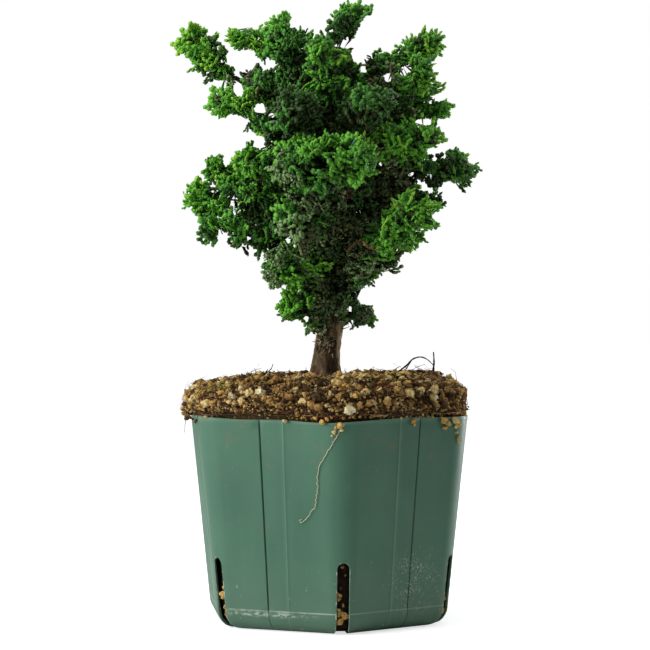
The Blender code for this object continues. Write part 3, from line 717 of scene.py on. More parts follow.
def shown_at(points):
    """Where points fall in the picture, in pixels."""
    scale = FOCAL_PIXELS / (points[..., 1] - CAMERA_PLACE[1])
    across = IMAGE_PIXELS / 2 + (points[..., 0] - CAMERA_PLACE[0]) * scale
    return across, IMAGE_PIXELS / 2 + (CAMERA_PLACE[2] - points[..., 2]) * scale


def through_pixel(column, row, depth):
    """The point that a pixel shows in the upright plane at a depth, counted from the pot's axis."""
    scale = (depth - CAMERA_PLACE[1]) / FOCAL_PIXELS
    half = IMAGE_PIXELS / 2
    x = CAMERA_PLACE[0] + (column - half) * scale
    return Vector((x, depth, CAMERA_PLACE[2] - (row - half) * scale))


def onto_pot(column, row, proud):
    """The point on the pot's outside that a pixel shows."""
    spot = through_pixel(column, row, -50)
    for _ in range(12):
        angle = math.atan2(spot.x, -spot.y)
        spot = through_pixel(column, row, on_pot(angle, min(spot.z, POT_HEIGHT), proud).y)
    return spot


front_turns = np.linspace(-1.5, 1.5, 181)
front_places = [(angle, share) for angle in front_turns for share in np.linspace(0.06, 0.8, 60)]
front_across, front_down = shown_at(np.array([soil_point(*place) for place in front_places]))


def onto_soil(column, row):
    """The place on the heap's front that a pixel shows, as an angle and a share."""
    return front_places[np.argmin((front_across - column) ** 2 + (front_down - row) ** 2)]


rng = random.Random(7)
corners = np.array([sign * axis for sign in (1, -1) for axis in np.eye(3)])
sides = [(0, 1, 2), (1, 3, 2), (3, 4, 2), (4, 0, 2), (1, 0, 5), (3, 1, 5), (4, 3, 5), (0, 4, 5)]
lumps = (shape_of(2), shape_of(1), (corners, sides))
grains = []  # (middle, radius, colour)
for _ in range(GRAIN_COUNT):
    angle = rng.uniform(-math.pi, math.pi)
    share = rng.random() ** 0.85 * 0.93 + 0.04
    radius = min(LARGEST_GRAIN, 0.42 + rng.expovariate(2.3))
    if share > 0.75:
        share = 0.75 + (share - 0.75) * 0.8
    if share < 0.14:
        radius = min(radius, 0.9)
    spot = on_soil(angle, share, radius * rng.uniform(-0.4, 0.65))
    finish = rng.choices(range(5), GRAIN_SHARES)[0]
    # Fewer brown clods to the right: painted light on the heap's right side.
    if noise.noise(spot * 0.09) > 0.18 + max(0.0, spot.x + 15) * CLOD_FADE_PAINTED_LIGHT and finish < BROWN_CLAY:
        finish = BROWN_CLAY
    grains.append((spot, radius, finish))
for column, row, radius in PALE_STONES:
    grains.append((on_soil(*onto_soil(column, row), radius * 0.5), radius, PALE_STONE))
for column, row, radius in STUCK_GRAINS:
    grains.append((onto_pot(column, row, radius * 0.8), radius, rng.choice((TAN, OCHRE, OCHRE))))
for k in range(6):
    turn = POT_TURN + k * SIXTH
    for _ in range(15):
        level = rng.uniform(5.5, 18)
        spot = on_pot(turn + rng.uniform(-0.03, 0.03), level, -rng.uniform(2.2, 3.6))
        grains.append((spot, rng.uniform(0.9, 1.9), rng.choice((TAN, OCHRE, OCHRE, BROWN_CLAY))))
    for _ in range(12):
        spot = on_pot(turn + rng.uniform(-0.03, 0.03), rng.uniform(15, SLIT_TOP), -rng.uniform(2.6, 4.2))
        grains.append((spot, rng.uniform(0.5, 1.1), rng.choice((BROWN_CLAY, DARK_CLAY, DARK_CLAY))))
for _ in range(MOSS_COUNT):
    angle, share = rng.choice(MOSS_PLACES)
    angle, share = angle + rng.gauss(0, 0.16), min(0.93, max(0.1, share + rng.gauss(0, 0.09)))
    grains.append((on_soil(angle, share, 0.5), rng.uniform(0.3, 0.8), MOSS))
for _ in range(RIM_CRUMBS):
    angle, share = rng.uniform(-math.pi, math.pi), rng.uniform(-0.1, 0.2)
    spot = on_soil(angle, max(share, 0), rng.uniform(-0.4, 0.5))
    if share < 0:
        out = pot_radius(angle, RIM_APOTHEM, RIM_CORNER) - rng.uniform(0.45, 1.3)
        spot = around(angle) * out + UP * (POT_HEIGHT + rng.uniform(-0.1, 2.1))
    grains.append((spot, rng.uniform(0.3, 0.8), rng.choices(range(4), CRUMB_SHARES)[0]))
for _ in range(SLUMPED):
    angle = rng.gauss(math.radians(-86), 0.16)
    spot = soil_point(angle, rng.uniform(0.05, 0.3)) + UP * rng.uniform(-5, 2)
    spot += around(angle) * rng.uniform(-0.5, 1.2)
    grains.append((spot, rng.uniform(0.6, 1.3), rng.choice((OCHRE, BROWN_CLAY, DARK_CLAY))))

grain_finishes = [crumbly(name, dark, light, 1100.0, 0.15) for name, (dark, light) in GRAIN_COLOURS.items()]
for name, low, high in (("clay_granules", DUST, math.inf), ("clay_dust", 0.0, DUST)):
    grain_parts = []
    for spot, radius, finish in grains:
        if not low <= radius < high:
            continue
        plainness = 0 if radius > LARGE_GRAIN and spot.y < FINE_FRONT else 1 if radius > SPECK else 2
        points, faces = lumps[plainness]
        own = np.random.default_rng(rng.randrange(1 << 30))
        squash = own.uniform(0.66, 1.15, 3)
        knobs = 1 + 0.24 * np.sin(points @ own.normal(0, 2.8, 3) + own.uniform(0, 6))
        shaped = points * squash * knobs[:, None] * own.uniform(0.76, 1.2, (len(points), 1))
        turn = np.array(Matrix.Rotation(own.uniform(0, 6.3), 3, Vector(own.normal(0, 1, 3)).normalized()))
        grain_parts.append((shaped @ turn.T * radius + np.array(spot), faces, finish))
    clay = mesh_piece(name, grain_parts, grain_finishes, smooth=False)

# Fine roots and bark fibre mat the heap together, and their ends stick out all over it.
# A few dark dead roots arch up at the back right, and one long pale root hangs down the pot's front.
ROOT_COLOURS = {
    "root_dark": ((0.012, 0.008, 0.005), (0.05, 0.03, 0.018)),
    "root_brown": ((0.06, 0.03, 0.015), (0.2, 0.11, 0.055)),
    "root_red": ((0.09, 0.03, 0.016), (0.3, 0.115, 0.055)),
    "root_pale": ((0.3, 0.22, 0.11), (0.6, 0.48, 0.28)),
    "root_cream": ((0.55, 0.47, 0.3), (0.8, 0.72, 0.5)),
}
DARK_ROOT, BROWN_ROOT, RED_ROOT, PALE_ROOT, CREAM_ROOT = range(5)
ROOT_SHARES = (0.42, 0.32, 0.2, 0.06)
ROOT_COUNT = 2800
ROOT_PLACES = (0.005, 0.96)  # how near to the rim and to the trunk a root may creep
LOOSE_ROOTS = (
    (((398, 372), (407, 365), (413, 359), (421, 357), (428, 360), (434, 366)), 20, 0.42, DARK_ROOT),
    (((403, 374), (408, 366), (412, 360)), 16, 0.3, DARK_ROOT),
    (((433, 378), (433.5, 369), (434, 361), (433.5, 352)), 12, 0.55, DARK_ROOT),
    (((412, 372), (420, 371), (428, 374), (436, 379)), 0, 0.6, DARK_ROOT),
    (((424, 373), (431, 371), (436, 376), (440, 382)), 4, 0.45, DARK_ROOT),
    (((392, 372), (397, 368), (401, 366)), 24, 0.25, BROWN_ROOT),
    (((262, 378), (266, 372), (268, 369)), 10, 0.35, DARK_ROOT),
    (((253, 378), (256, 372), (254, 368)), 18, 0.22, BROWN_ROOT),
    (((236, 386), (239, 380), (243, 376), (246, 377)), 6, 0.3, DARK_ROOT),
    (((268, 380), (266, 374), (271, 369), (273, 364)), 14, 0.3, DARK_ROOT),
    (((275, 380), (279, 374), (277, 369)), 12, 0.25, DARK_ROOT),
    (((286, 379), (290, 374), (296, 373)), 10, 0.3, DARK_ROOT),
    (((246, 381), (249, 376), (247, 371)), 10, 0.22, DARK_ROOT),
)  # pixels, depth, radius and colour
DEPTH_STEP = 0.25  # further back at each pixel
HANGING_ROOT = (
    (344, 424), (340, 431), (337, 436), (334, 441), (331, 447), (327, 451), (325, 457),
    (321, 463), (318, 469), (317.5, 477), (317.5, 484), (317, 493), (316, 501), (315, 507),
    (311, 512), (308, 516), (305, 520), (301, 522.5), (299.5, 520.5), (301.5, 519.5),
)
LIES_FROM = 426  # the pixel row from which the hanging root lies against the pot


def hermite(before, a, b, after, t):
    """A place between a and b on the smooth curve through all four."""
    return (
        a * (2 * t**3 - 3 * t**2 + 1)
        + (b - before) / 2 * (t**3 - 2 * t**2 + t)
        + b * (3 * t**2 - 2 * t**3)
        + (after - a) / 2 * (t**3 - t**2)
    )


def smooth_path(stations, steps):
    """Points on a smooth curve through the stations."""
    path = []
    for k in range(len(stations) - 1):
        before, after = stations[max(k - 1, 0)], stations[min(k + 2, len(stations) - 1)]
        path += [hermite(before, stations[k], stations[k + 1], after, n / steps) for n in range(steps)]
    return [*path, stations[-1]]


fibre_parts = []
least, most = ROOT_PLACES
for _ in range(ROOT_COUNT):
    angle, share = rng.uniform(-math.pi, math.pi), rng.random() ** 1.75 * 0.94 + least
    drift, climb = rng.gauss(0, 0.016), rng.gauss(0, 0.018)
    lift = rng.uniform(-0.2, 1.1)
    ending = rng.choice((0, 0, 0, 0.25, 0.6)) if 0.2 < share < 0.8 else 0
    path = []
    for step in range(rng.randint(6, 10)):
        path.append(on_soil(angle, share, lift))
        angle += drift
        share = min(max(share + climb, least), most)
        drift = drift * 0.8 + rng.gauss(0, 0.016)
        climb = climb * 0.8 + rng.gauss(0, 0.015)
        lift = max(-0.7, lift + rng.gauss(0, 0.4) + ending * step * 0.16)
    radius = rng.uniform(0.08, 0.23)
    radii = [radius * (1 - 0.6 * k / len(path)) for k in range(len(path))]
    fibre_parts.append((*tube(path, radii, 3), rng.choices(range(4), ROOT_SHARES)[0]))
for pixels, depth, radius, finish in LOOSE_ROOTS:
    path = smooth_path([through_pixel(c, r, depth + DEPTH_STEP * k) for k, (c, r) in enumerate(pixels)], 5)
    radii = [radius * (1.15 - 0.75 * k / len(path)) * rng.uniform(0.85, 1.2) for k in range(len(path))]
    fibre_parts.append((*tube(path, radii, 6), finish))
for side in [-1] * 9 + [1] * 9:
    path = [soil_point(side * math.radians(83) + rng.uniform(-0.25, 0.1), rng.uniform(0.08, 0.3))]
    for _ in range(6):
        step = Vector((side * rng.uniform(-0.2, 0.8), rng.uniform(-0.8, 0.5), rng.uniform(-2.2, 0.4)))
        path.append(path[-1] + step)
    finish = rng.choice((DARK_ROOT, BROWN_ROOT, BROWN_ROOT, PALE_ROOT))
    fibre_parts.append((*tube(path, [0.22 - 0.02 * k for k in range(7)], 4), finish))
hanging = [onto_pot(c, r, 0.5 if r > LIES_FROM else 1.4) for c, r in HANGING_ROOT]
hanging = smooth_path(hanging, 4)
for k in range(1, len(hanging) - 1):
    hanging[k] = hanging[k] + Vector((rng.uniform(-0.36, 0.36), rng.uniform(-0.2, 0), rng.uniform(-0.1, 0.1)))
radii = [0.17 - 0.04 * k / len(hanging) for k in range(len(hanging))]
fibre_parts.append((*tube(hanging, radii, 6), CREAM_ROOT))
root_finishes = [crumbly(name, dark, light, 1500.0, 0.1) for name, (dark, light) in ROOT_COLOURS.items()]
fibres = mesh_piece("fine_roots", fibre_parts, root_finishes)

# The trunk is one leaning stem that tapers all the way up through the crown, flared at its roots.
# Its bark is thin and stringy, grey-brown outside with redder strips where it has peeled.
TRUNK_FOOT = 105.1
TRUNK = (
    (TRUNK_FOOT, -0.4, 0.0, 7.0),
    (107.8, -0.5, 0.0, 6.4),
    (113.3, 0.0, 0.0, 6.0),
    (122.8, 1.2, 0.3, 5.7),
    (138.3, 4.3, 0.8, 5.2),
    (160.3, 6.5, 0.4, 4.4),
    (186.3, 8.7, -0.6, 3.5),
    (211.3, 8.3, 0.0, 2.6),
    (227.3, 6.5, 0.4, 2.0),
)  # height, x, y and radius
TRUNK_SUNK = 0.6  # into the soil
TRUNK_SIDES = 84
TRUNK_ROWS = 210
FLUTES = 5
FLUTE_DEPTH = 0.16
FLUTE_FADE = 9.0
BARK_DEPTH = 0.32
BARK_INSET = 0.15
SCAR = (-0.7, 120.3, 4.6)  # x, height and radius of the rough patch in front where twigs were cut off
SCAR_FRONT = -5.4
PEELED_PLACE = (-2.4, -6.0, 108.5)  # a redder patch at the foot
# Painted shade: the bark in front is darkened where the crown shades the trunk.
PAINTED_SHADE_PLACE = (1.8, -5.6, 111.5)  # a darker patch in front
# Painted light: towards its right edge the bark pales, as lit from behind at the right.
LIT_SIDE_PAINTED = (0.0041, 0.0056)  # metres to the right, where the bark turns paler


def on_trunk(level):
    """The trunk's middle and radius at a height, on a smooth curve through its stations."""
    last = len(TRUNK) - 1
    k = next((n for n in range(last) if level <= TRUNK[n + 1][0]), last - 1)
    t = (level - TRUNK[k][0]) / (TRUNK[k + 1][0] - TRUNK[k][0])
    stations = TRUNK[max(k - 1, 0)], TRUNK[k], TRUNK[k + 1], TRUNK[min(k + 2, last)]
    x, y, radius = (hermite(*column, t) for column in list(zip(*stations, strict=True))[1:])
    return Vector((x, y, level)), radius


def bark_relief(place, along, turn, radius):
    """How far stringy bark stands out at a turn round a limb, as a share of its depth."""
    strips = noise.fractal(Vector((math.cos(turn) * radius, math.sin(turn) * radius, along * 0.14)), 1, 2, 4)
    plates = abs(noise.noise(Vector((place.x * 0.55, place.y * 0.55, place.z * 0.16))))
    flakes = noise.fractal(place * 0.9, 1, 2, 3)
    return 0.9 * strips + 0.5 * flakes + 1.2 * plates - 0.3


trunk_points = []
lowest = TRUNK_FOOT - TRUNK_SUNK
for row in range(TRUNK_ROWS):
    level = lowest + (TRUNK[-1][0] - lowest) * (row / (TRUNK_ROWS - 1)) ** 1.25
    middle, radius = on_trunk(max(level, TRUNK_FOOT))
    middle.z = level
    flare = FLUTE_DEPTH * max(0.0, 1 - (level - TRUNK_FOOT) / FLUTE_FADE)
    for k in range(TRUNK_SIDES):
        turn = 2 * math.pi * k / TRUNK_SIDES
        out = radius * (1 + flare * math.cos(FLUTES * turn)) - BARK_INSET
        spot = middle + around(turn) * out
        deep = BARK_DEPTH * bark_relief(spot, level, turn, radius)
        if spot.y < 0:
            rough = math.exp(-(((spot.x - SCAR[0]) ** 2 + (spot.z - SCAR[1]) ** 2) / SCAR[2] ** 2))
            deep += rough * (1.1 * noise.noise(spot * 1.3) - 0.15)
        trunk_points.append(spot + around(turn) * deep)

# Bark in strips: they run up the limb in three tones, with redder places where one has peeled.
stringy, given, result = effect(
    "stringy_bark",
    {"Place": VECTOR, "Dark": COLOUR, "Mid": COLOUR, "Light": COLOUR, "Peeled": COLOUR},
    {"Colour": COLOUR, "Height": FLOAT},
)
place = given["Place"]
strips = speckle(stringy, place, (620.0, 620.0, 210.0), 0.34, 0.66, 7.0)
patches = speckle(stringy, place, 210.0, 0.46, 0.62)
peeled = speckle(stringy, place, (190.0, 190.0, 110.0), 0.52, 0.66)
threads = speckle(stringy, place, (1700.0, 1700.0, 300.0), 0.2, 0.8, 6.0)
colour = blend(stringy, strips, given["Dark"], given["Mid"])
colour = blend(stringy, combine(stringy, "MULTIPLY", patches, strips, 0.9), colour, given["Light"])
colour = blend(stringy, combine(stringy, "MULTIPLY", peeled, 0.7), colour, given["Peeled"])
stringy.links.new(colour, result["Colour"])
height = combine(stringy, "ADD", combine(stringy, "MULTIPLY", strips, 0.6), threads)
stringy.links.new(height, result["Height"])


def bark_finish(name, dark, mid, light, peeled):
    """Stringy bark, with dried earth splashed up from the soil."""
    made, shader, tree = plain_finish(name, mid, 0.88, 0.2)
    place = object_place(tree)
    own = {"Place": place, "Dark": dark, "Mid": mid, "Light": light, "Peeled": peeled}
    bark = node(tree, "ShaderNodeGroup", own, node_tree=stringy).outputs
    splash = ramp(tree, along_axis(tree, place, "Z"), 0.105, 0.125, 1.0, 0.0)
    own = {"Colour": bark["Colour"], "Place": place, "Amount": splash}
    dusty = node(tree, "ShaderNodeGroup", own, node_tree=earth)
    tree.links.new(dusty.outputs["Colour"], shader.inputs["Base Color"])
    add_relief(tree, shader, bark["Height"], 1.0, 0.0005)
    return made


TRUNK_TONES = ((0.032, 0.02, 0.01), (0.165, 0.113, 0.057), (0.43, 0.325, 0.18), (0.19, 0.088, 0.05))
trunk_bark = bark_finish("trunk_bark", *TRUNK_TONES)
tree = trunk_bark.node_tree
place = object_place(tree)
painted = tree.nodes["Principled BSDF"].inputs["Base Color"]
redder = combine(tree, "MULTIPLY", near_point(tree, place, PEELED_PLACE, 5.5), 0.4)
colour = blend(tree, redder, painted.links[0].from_socket, (0.2, 0.09, 0.055))
# Painted shade on the trunk's front.
painted_front_shade = combine(tree, "MULTIPLY", near_point(tree, place, PAINTED_SHADE_PLACE, 9.5), 0.62)
colour = blend(tree, painted_front_shade, colour, (0.045, 0.031, 0.017))
# Painted light on the trunk's right edge.
painted_side_light = ramp(tree, along_axis(tree, place, "X"), *LIT_SIDE_PAINTED, 0.0, 0.62)
painted_side_light = combine(tree, "MULTIPLY", painted_side_light, speckle(tree, place, 420.0, 0.2, 0.55))
colour = blend(tree, painted_side_light, colour, (0.6, 0.45, 0.27))
scarred = near_point(tree, place, (SCAR[0], SCAR_FRONT, SCAR[1]), SCAR[2] * 1.15)
colour = blend(tree, combine(tree, "MULTIPLY", scarred, 0.85), colour, (0.022, 0.016, 0.009))
tree.links.new(colour, painted)
trunk = mesh_piece("bark_trunk", [(trunk_points, ring_skin(TRUNK_ROWS, TRUNK_SIDES), 0)], [trunk_bark])
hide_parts("trunk")

# Short dead twigs still stand on the rough patch in front, where side shoots were cut off.
# They are dry and grey-tan, each bent once or twice.
SCAR_TWIGS = 95

scar_rng = random.Random(5)


def stray(spread):
    """A random vector of three."""
    return Vector([scar_rng.gauss(0, spread) for _ in range(3)])


scar_parts = []
for _ in range(SCAR_TWIGS):
    middle, radius = on_trunk(SCAR[1] + scar_rng.gauss(0, SCAR[2] * 0.5))
    across = max(-0.85, min(0.85, (SCAR[0] - middle.x + scar_rng.gauss(0, SCAR[2] * 0.45)) / radius))
    out = Vector((across, -math.sqrt(1 - across**2), 0))
    heading = stray(1)
    heading = (heading - out * heading.dot(out)).normalized() + out * scar_rng.uniform(0.1, 0.7)
    path = [middle + out * (radius + 0.1)]
    for _ in range(scar_rng.randint(2, 4)):
        path.append(path[-1] + heading.normalized() * scar_rng.uniform(0.35, 0.75))
        heading += stray(0.5) - out * 0.25
    thick = scar_rng.uniform(0.16, 0.28)
    scar_parts.append((*tube(path, [thick * (1 - 0.12 * k) for k in range(len(path))], 5), 0))
DEAD_TONES = ((0.16, 0.13, 0.07), (0.55, 0.46, 0.28), (0.75, 0.66, 0.45), (0.45, 0.3, 0.18))
dead_bark = bark_finish("dead_twigs", *DEAD_TONES)
scar = mesh_piece("scar_twigs", scar_parts, [dead_bark])

# Boughs leave the trunk steeply all the way up it, each one tapering to where its foliage starts.
# Their bark is redder and smoother than the trunk's, and each forks inside the foliage that it carries.
GAP = 0.35  # left where a limb meets what carries it, as between the solids
BOUGHS = {
    "top_left": (217.3, 1.9),
    "crest": (222.3, 1.6),
    "right_horn": (218.3, 1.9),
    "right_upper": (204.3, 1.8),
    "left_upper": (202.3, 1.8),
    "left_mid": (185.3, 1.8),
    "left_low": (172.3, 2.3),
    "right_mid": (189.3, 1.8),
    "right_far": (180.3, 2.2),
    "right_low": (158.3, 1.9),
    "centre_front": (183.3, 2.0),
    "front_upper_right": (206.3, 1.6),
    "front_upper_left": (208.3, 1.6),
    "front_low": (163.3, 1.9),
    "back_upper_left": (207.3, 1.8),
    "back_upper_right": (205.3, 1.8),
    "back_centre": (191.3, 2.2),
    "back_low_left": (174.3, 2.0),
    "back_low_right": (171.3, 2.0),
    "back_low": (153.3, 2.0),
}  # height on the trunk and base radius
BOUGH_TAPER = 0.55
BOUGH_SIDES = 14
BOUGH_ROWS = 30
BOUGH_STEPS = 60
BOUGH_COLLAR = 0.35  # thicker where it leaves the trunk
BOUGH_BARK_DEPTH = 0.22
# Each mass: name, what carries it, inner and outer centre, inner and outer radius, tint.
MASSES = (
    ("leader_crest", "tip", (1.6, 0, 239.5), (9.7, -3, 257.9), 9.4, 10.5, "lit"),
    ("crest_left", "crest", (-11.5, -4, 237), (-19.2, -7, 253), 11.4, 9.6, "lit"),
    ("left_horn", "crest", (-26, 7, 249), (-38, 7, 253.2), 5.6, 4.9, "young"),
    ("left_shoulder", 213.3, (-15.9, -4, 228), (-31, -2, 233), 9.6, 8.4, "shade"),
    ("top_left_arm", "top_left", (-45, 10, 238.8), (-57, 12, 250.6), 7.8, 10.0, "young"),
    ("right_shoulder", 211.3, (21.5, 5, 230.5), (23.8, 4, 240.6), 9.2, 7.8, "lit"),
    ("right_horn", "right_horn", (32, 0, 239.4), (42.4, -3, 249.2), 6.4, 8.6, "lit"),
    ("right_horn_under", "right_horn", (33.1, -8, 230.3), (40.1, -12, 237.3), 6.2, 6.7, "young"),
    ("right_upper_pad", "right_upper", (27, 2, 225), (44, 0, 229.6), 9.0, 7.6, "lit"),
    ("right_upper_low", "right_upper", (30, 5, 213.5), (48.8, 6, 221.6), 9.4, 8.2, "young"),
    ("left_upper_pad", "left_upper", (-20, -7, 215.5), (-43.2, -8, 223.4), 11.4, 8.2, "young"),
    ("left_mid", "left_mid", (-18, -8, 196), (-32.9, -12, 198.8), 12.6, 10.2, "young"),
    ("left_mid_tip", "left_mid", (-35, 5, 190.5), (-48.9, 4, 197.3), 7.6, 6.9, "young"),
    ("left_low", "left_low", (-25, -5, 181), (-51.9, -6, 182.2), 14.4, 11.6, "lit"),
    ("left_low_under", "left_low", (-26, -12, 164.8), (-48.6, -17, 169.4), 11.0, 8.6, "shade"),
    ("right_mid", "right_mid", (24, -12, 203), (42, -17, 208.6), 12.0, 9.8, "lit"),
    ("right_far", "right_far", (34, 7, 194.5), (57.3, 8, 196.6), 10.6, 11.2, "shade"),
    ("right_low_far", "right_far", (39.1, 13, 180.3), (46.3, 15, 180), 9.2, 7.8, "dull"),
    ("right_low", "right_low", (24, -20, 167.5), (36, -32, 173.4), 11.8, 11.6, "young"),
    ("bottom_right", 143.3, (16.8, -10, 151.5), (28.5, -13, 161.6), 11.0, 9.8, "dull"),
    ("bottom_left", 141.3, (-11.3, -12, 152), (-19.6, -16, 156), 11.8, 11.2, "dull"),
    ("skirt_left", 128.8, (-7.2, -12, 133.4), (-14.6, -14, 136.4), 8.4, 7.6, "lit"),
    ("skirt_right", 130.3, (11.5, 6, 131.8), (16.6, 6, 131.8), 6.3, 5.4, "shade"),
    ("skirt_back", 132.3, (3.1, 14, 143.5), (2.1, 20, 146.5), 9.0, 8.6, "dull"),
    ("centre_front", "centre_front", (-10.9, -34, 194.3), (11.1, -37, 196), 13.2, 12.6, "young"),
    ("front_upper_right", "front_upper_right", (9.5, -21, 213), (20.1, -34, 220.3), 11.8, 10.2, "shade"),
    ("front_upper_left", "front_upper_left", (-9, -21, 213), (-17.5, -32, 222), 11.8, 10.4, "shade"),
    ("front_top", 220.3, (4.3, -14, 229), (-1.9, -23, 240.3), 11.4, 10.4, "lit"),
    ("front_low", "front_low", (-1.5, -19, 175), (-12.5, -30, 171), 13.2, 12.4, "dull"),
    ("back_top", 221.3, (7.1, 13, 233), (2.1, 25, 245.3), 11.4, 11.8, "lit"),
    ("back_upper_left", "back_upper_left", (-10, 16, 217), (-23.9, 33, 224.3), 12.8, 12.8, "lit"),
    ("back_upper_right", "back_upper_right", (17, 16, 217), (29.1, 32, 224.3), 12.8, 12.8, "lit"),
    ("back_centre", "back_centre", (5.1, 25, 200.5), (2.1, 43, 206.3), 14.2, 13.8, "lit"),
    ("back_low_left", "back_low_left", (-14, 17, 180), (-30, 33, 188.3), 13.4, 13.4, "lit"),
    ("back_low_right", "back_low_right", (17.5, 18, 178.5), (32.1, 32, 187.3), 13.4, 13.6, "lit"),
    ("back_low", "back_low", (5.1, 16, 162), (1.5, 30, 168), 12.4, 13.2, "shade"),
)
SITE_SPACING = 0.8  # of a mass's radius, between the spheres that claim its space
STEM_RADIUS = 0.8
FORK_OFFSET = 0.95  # between a bough tip's middle and each stem that leaves it
TRUNK_SAMPLES = 123  # a millimetre apart, from its foot to its tip


class Mass:
    """One egg of foliage: its space, and the limb that carries it."""

    def __init__(self, order, row):
        self.name, self.carrier, inner, outer, self.inner_radius, self.outer_radius, self.tint = row
        self.order = order
        self.inner, self.outer = Vector(inner), Vector(outer)
        self.axis = (self.outer - self.inner).normalized()
        length = (self.outer - self.inner).length
        mean = (self.inner_radius + self.outer_radius) / 2
        steps = max(1, round(length / (SITE_SPACING * mean)))
        self.sites = [self.section(k / steps) for k in range(steps + 1)]
        self.area = 4 * math.pi * mean**2 + 2 * math.pi * mean * length

    def section(self, t):
        radius = self.inner_radius + (self.outer_radius - self.inner_radius) * t
        return self.inner.lerp(self.outer, t), radius

    def reached(self, point):
        return (point - self.inner).length < self.inner_radius * 0.8


def bend(start, heading, end, steps):
    """Points on a curve that leaves start along heading and comes to end."""
    control = start + heading * (end - start).length * 0.4
    shares = [k / steps for k in range(steps + 1)]
    return [start.lerp(control, t).lerp(control.lerp(end, t), t) for t in shares]


def leave_trunk(level, towards, radius):
    """Where a limb starts beside the trunk, and the direction it leaves in."""
    middle, thickness = on_trunk(level)
    out = Vector((towards.x - middle.x, towards.y - middle.y, 0)).normalized()
    rise = (towards.z - level) / (towards - middle).length
    out = (out + UP * 0.6 * rise).normalized()
    return middle + out * (thickness + GAP + abs(out.z) * radius) / math.hypot(out.x, out.y), out


def limb_samples(owner, path, radii):
    """(owner, point, radius) about every millimetre of a limb."""
    found = []
    for k in range(len(path) - 1):
        steps = max(1, round((path[k + 1] - path[k]).length))
        for n in range(steps + 1):
            t = n / steps
            found.append((owner, path[k].lerp(path[k + 1], t), radii[k] + (radii[k + 1] - radii[k]) * t))
    return found


masses = [Mass(order, row) for order, row in enumerate(MASSES)]
trunk_rows = [on_trunk(TRUNK_FOOT + k) for k in range(TRUNK_SAMPLES)]
limbs = limb_samples("trunk", *zip(*trunk_rows, strict=True))
tips = {}
bough_parts = []
for name, (level, radius) in BOUGHS.items():
    carried = [m for m in masses if m.carrier == name]
    goal = sum((m.inner for m in carried), Vector()) / len(carried)
    start, heading = leave_trunk(level, goal, radius)
    fine = bend(start, heading, goal, BOUGH_STEPS)
    stop = next((k for k, p in enumerate(fine) if any(m.reached(p) for m in carried)), BOUGH_STEPS)
    stop = round(stop * (0.85 if len(carried) > 1 else 1))
    fine = fine[: stop + 1]
    tips[name] = (fine[-1], (fine[-1] - fine[-2]).normalized())
    radii = [radius * (1 + (BOUGH_TAPER - 1) * k / stop) for k in range(stop + 1)]
    limbs += limb_samples(name, fine, radii)
    fine = [start - heading * (GAP + radius * 0.8), *fine]
    rows = [fine[round((stop + 1) * k / (BOUGH_ROWS - 1))] for k in range(BOUGH_ROWS)]
    rows = [p for k, p in enumerate(rows) if k == 0 or p != rows[k - 1]]
    shares = [k / (len(rows) - 1) for k in range(len(rows))]
    sizes = [radius * (1 + (BOUGH_TAPER - 1) * t + BOUGH_COLLAR * max(0.0, 1 - t * 9)) for t in shares]
    made, faces = tube(rows, sizes, BOUGH_SIDES)
    bough_points = []
    for k, spot in enumerate(made):
        middle = rows[k // BOUGH_SIDES]
        turn = 2 * math.pi * (k % BOUGH_SIDES) / BOUGH_SIDES
        strip = bark_relief(spot, (middle - start).length, turn, radius)
        bough_points.append(spot + (spot - middle).normalized() * BOUGH_BARK_DEPTH * strip)
    bough_parts.append((bough_points, faces, 0))
BOUGH_TONES = ((0.03, 0.014, 0.008), (0.12, 0.055, 0.028), (0.26, 0.15, 0.09), (0.22, 0.085, 0.04))
bough_bark = bark_finish("bough_bark", *BOUGH_TONES)
boughs = mesh_piece("bark_boughs", bough_parts, [bough_bark])
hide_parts(*(f"bough_{name}" for name in BOUGHS))

# Inside each mass a stem runs on from the bough and forks into twigs, which fork again towards the surface.
# Older twigs are brown. Each of the last ones ends in a head of leaf fans about a centimetre across.
GOLDEN = math.pi * (3 - math.sqrt(5))
SPRAY_AREA = 268.0  # of a mass's surface, for each main twig
LEAST_MAINS = 9
MAIN_DRAWS = ((-0.25, 0.25), (0, math.pi), (0.88, 1.08))  # turn, a spare, and share of the full length
TWIG_ROOT = 0.5  # of the way out, where a main twig forks
TWIG_RADIUS = 0.45
SPRAY_LENGTH = (4.8, 9.0)  # from that fork to the furthest leaf
FORKS = 1.7  # more heads of fans for each main twig, besides the one in line with it
FORK_ANGLE = (22, 44)  # degrees, on a mass with nine main twigs
HEAD_FANS = (5, 8)
HEAD_SPREAD = 68  # degrees from the head's own heading to its outermost fans
HEAD_REACH = (0.94, 1.07)  # of its main twig's reach, for a head in line with it
SIDE_REACH = (0.6, 0.98)  # and for one that forks off
FAN_LENGTH = (6.4, 9.8)
OLD_FANS = 18  # deeper in each mass, faded
OLD_LENGTH = (7.5, 11.0)
CELL_SLACK = 34.0  # square millimetres by which a fan may pass its mass's boundary
FAN_KINDS = 12
YOUNG_WIDTH = 0.25  # of a fan's length, across one blunt tip
OLD_WIDTH = 0.26
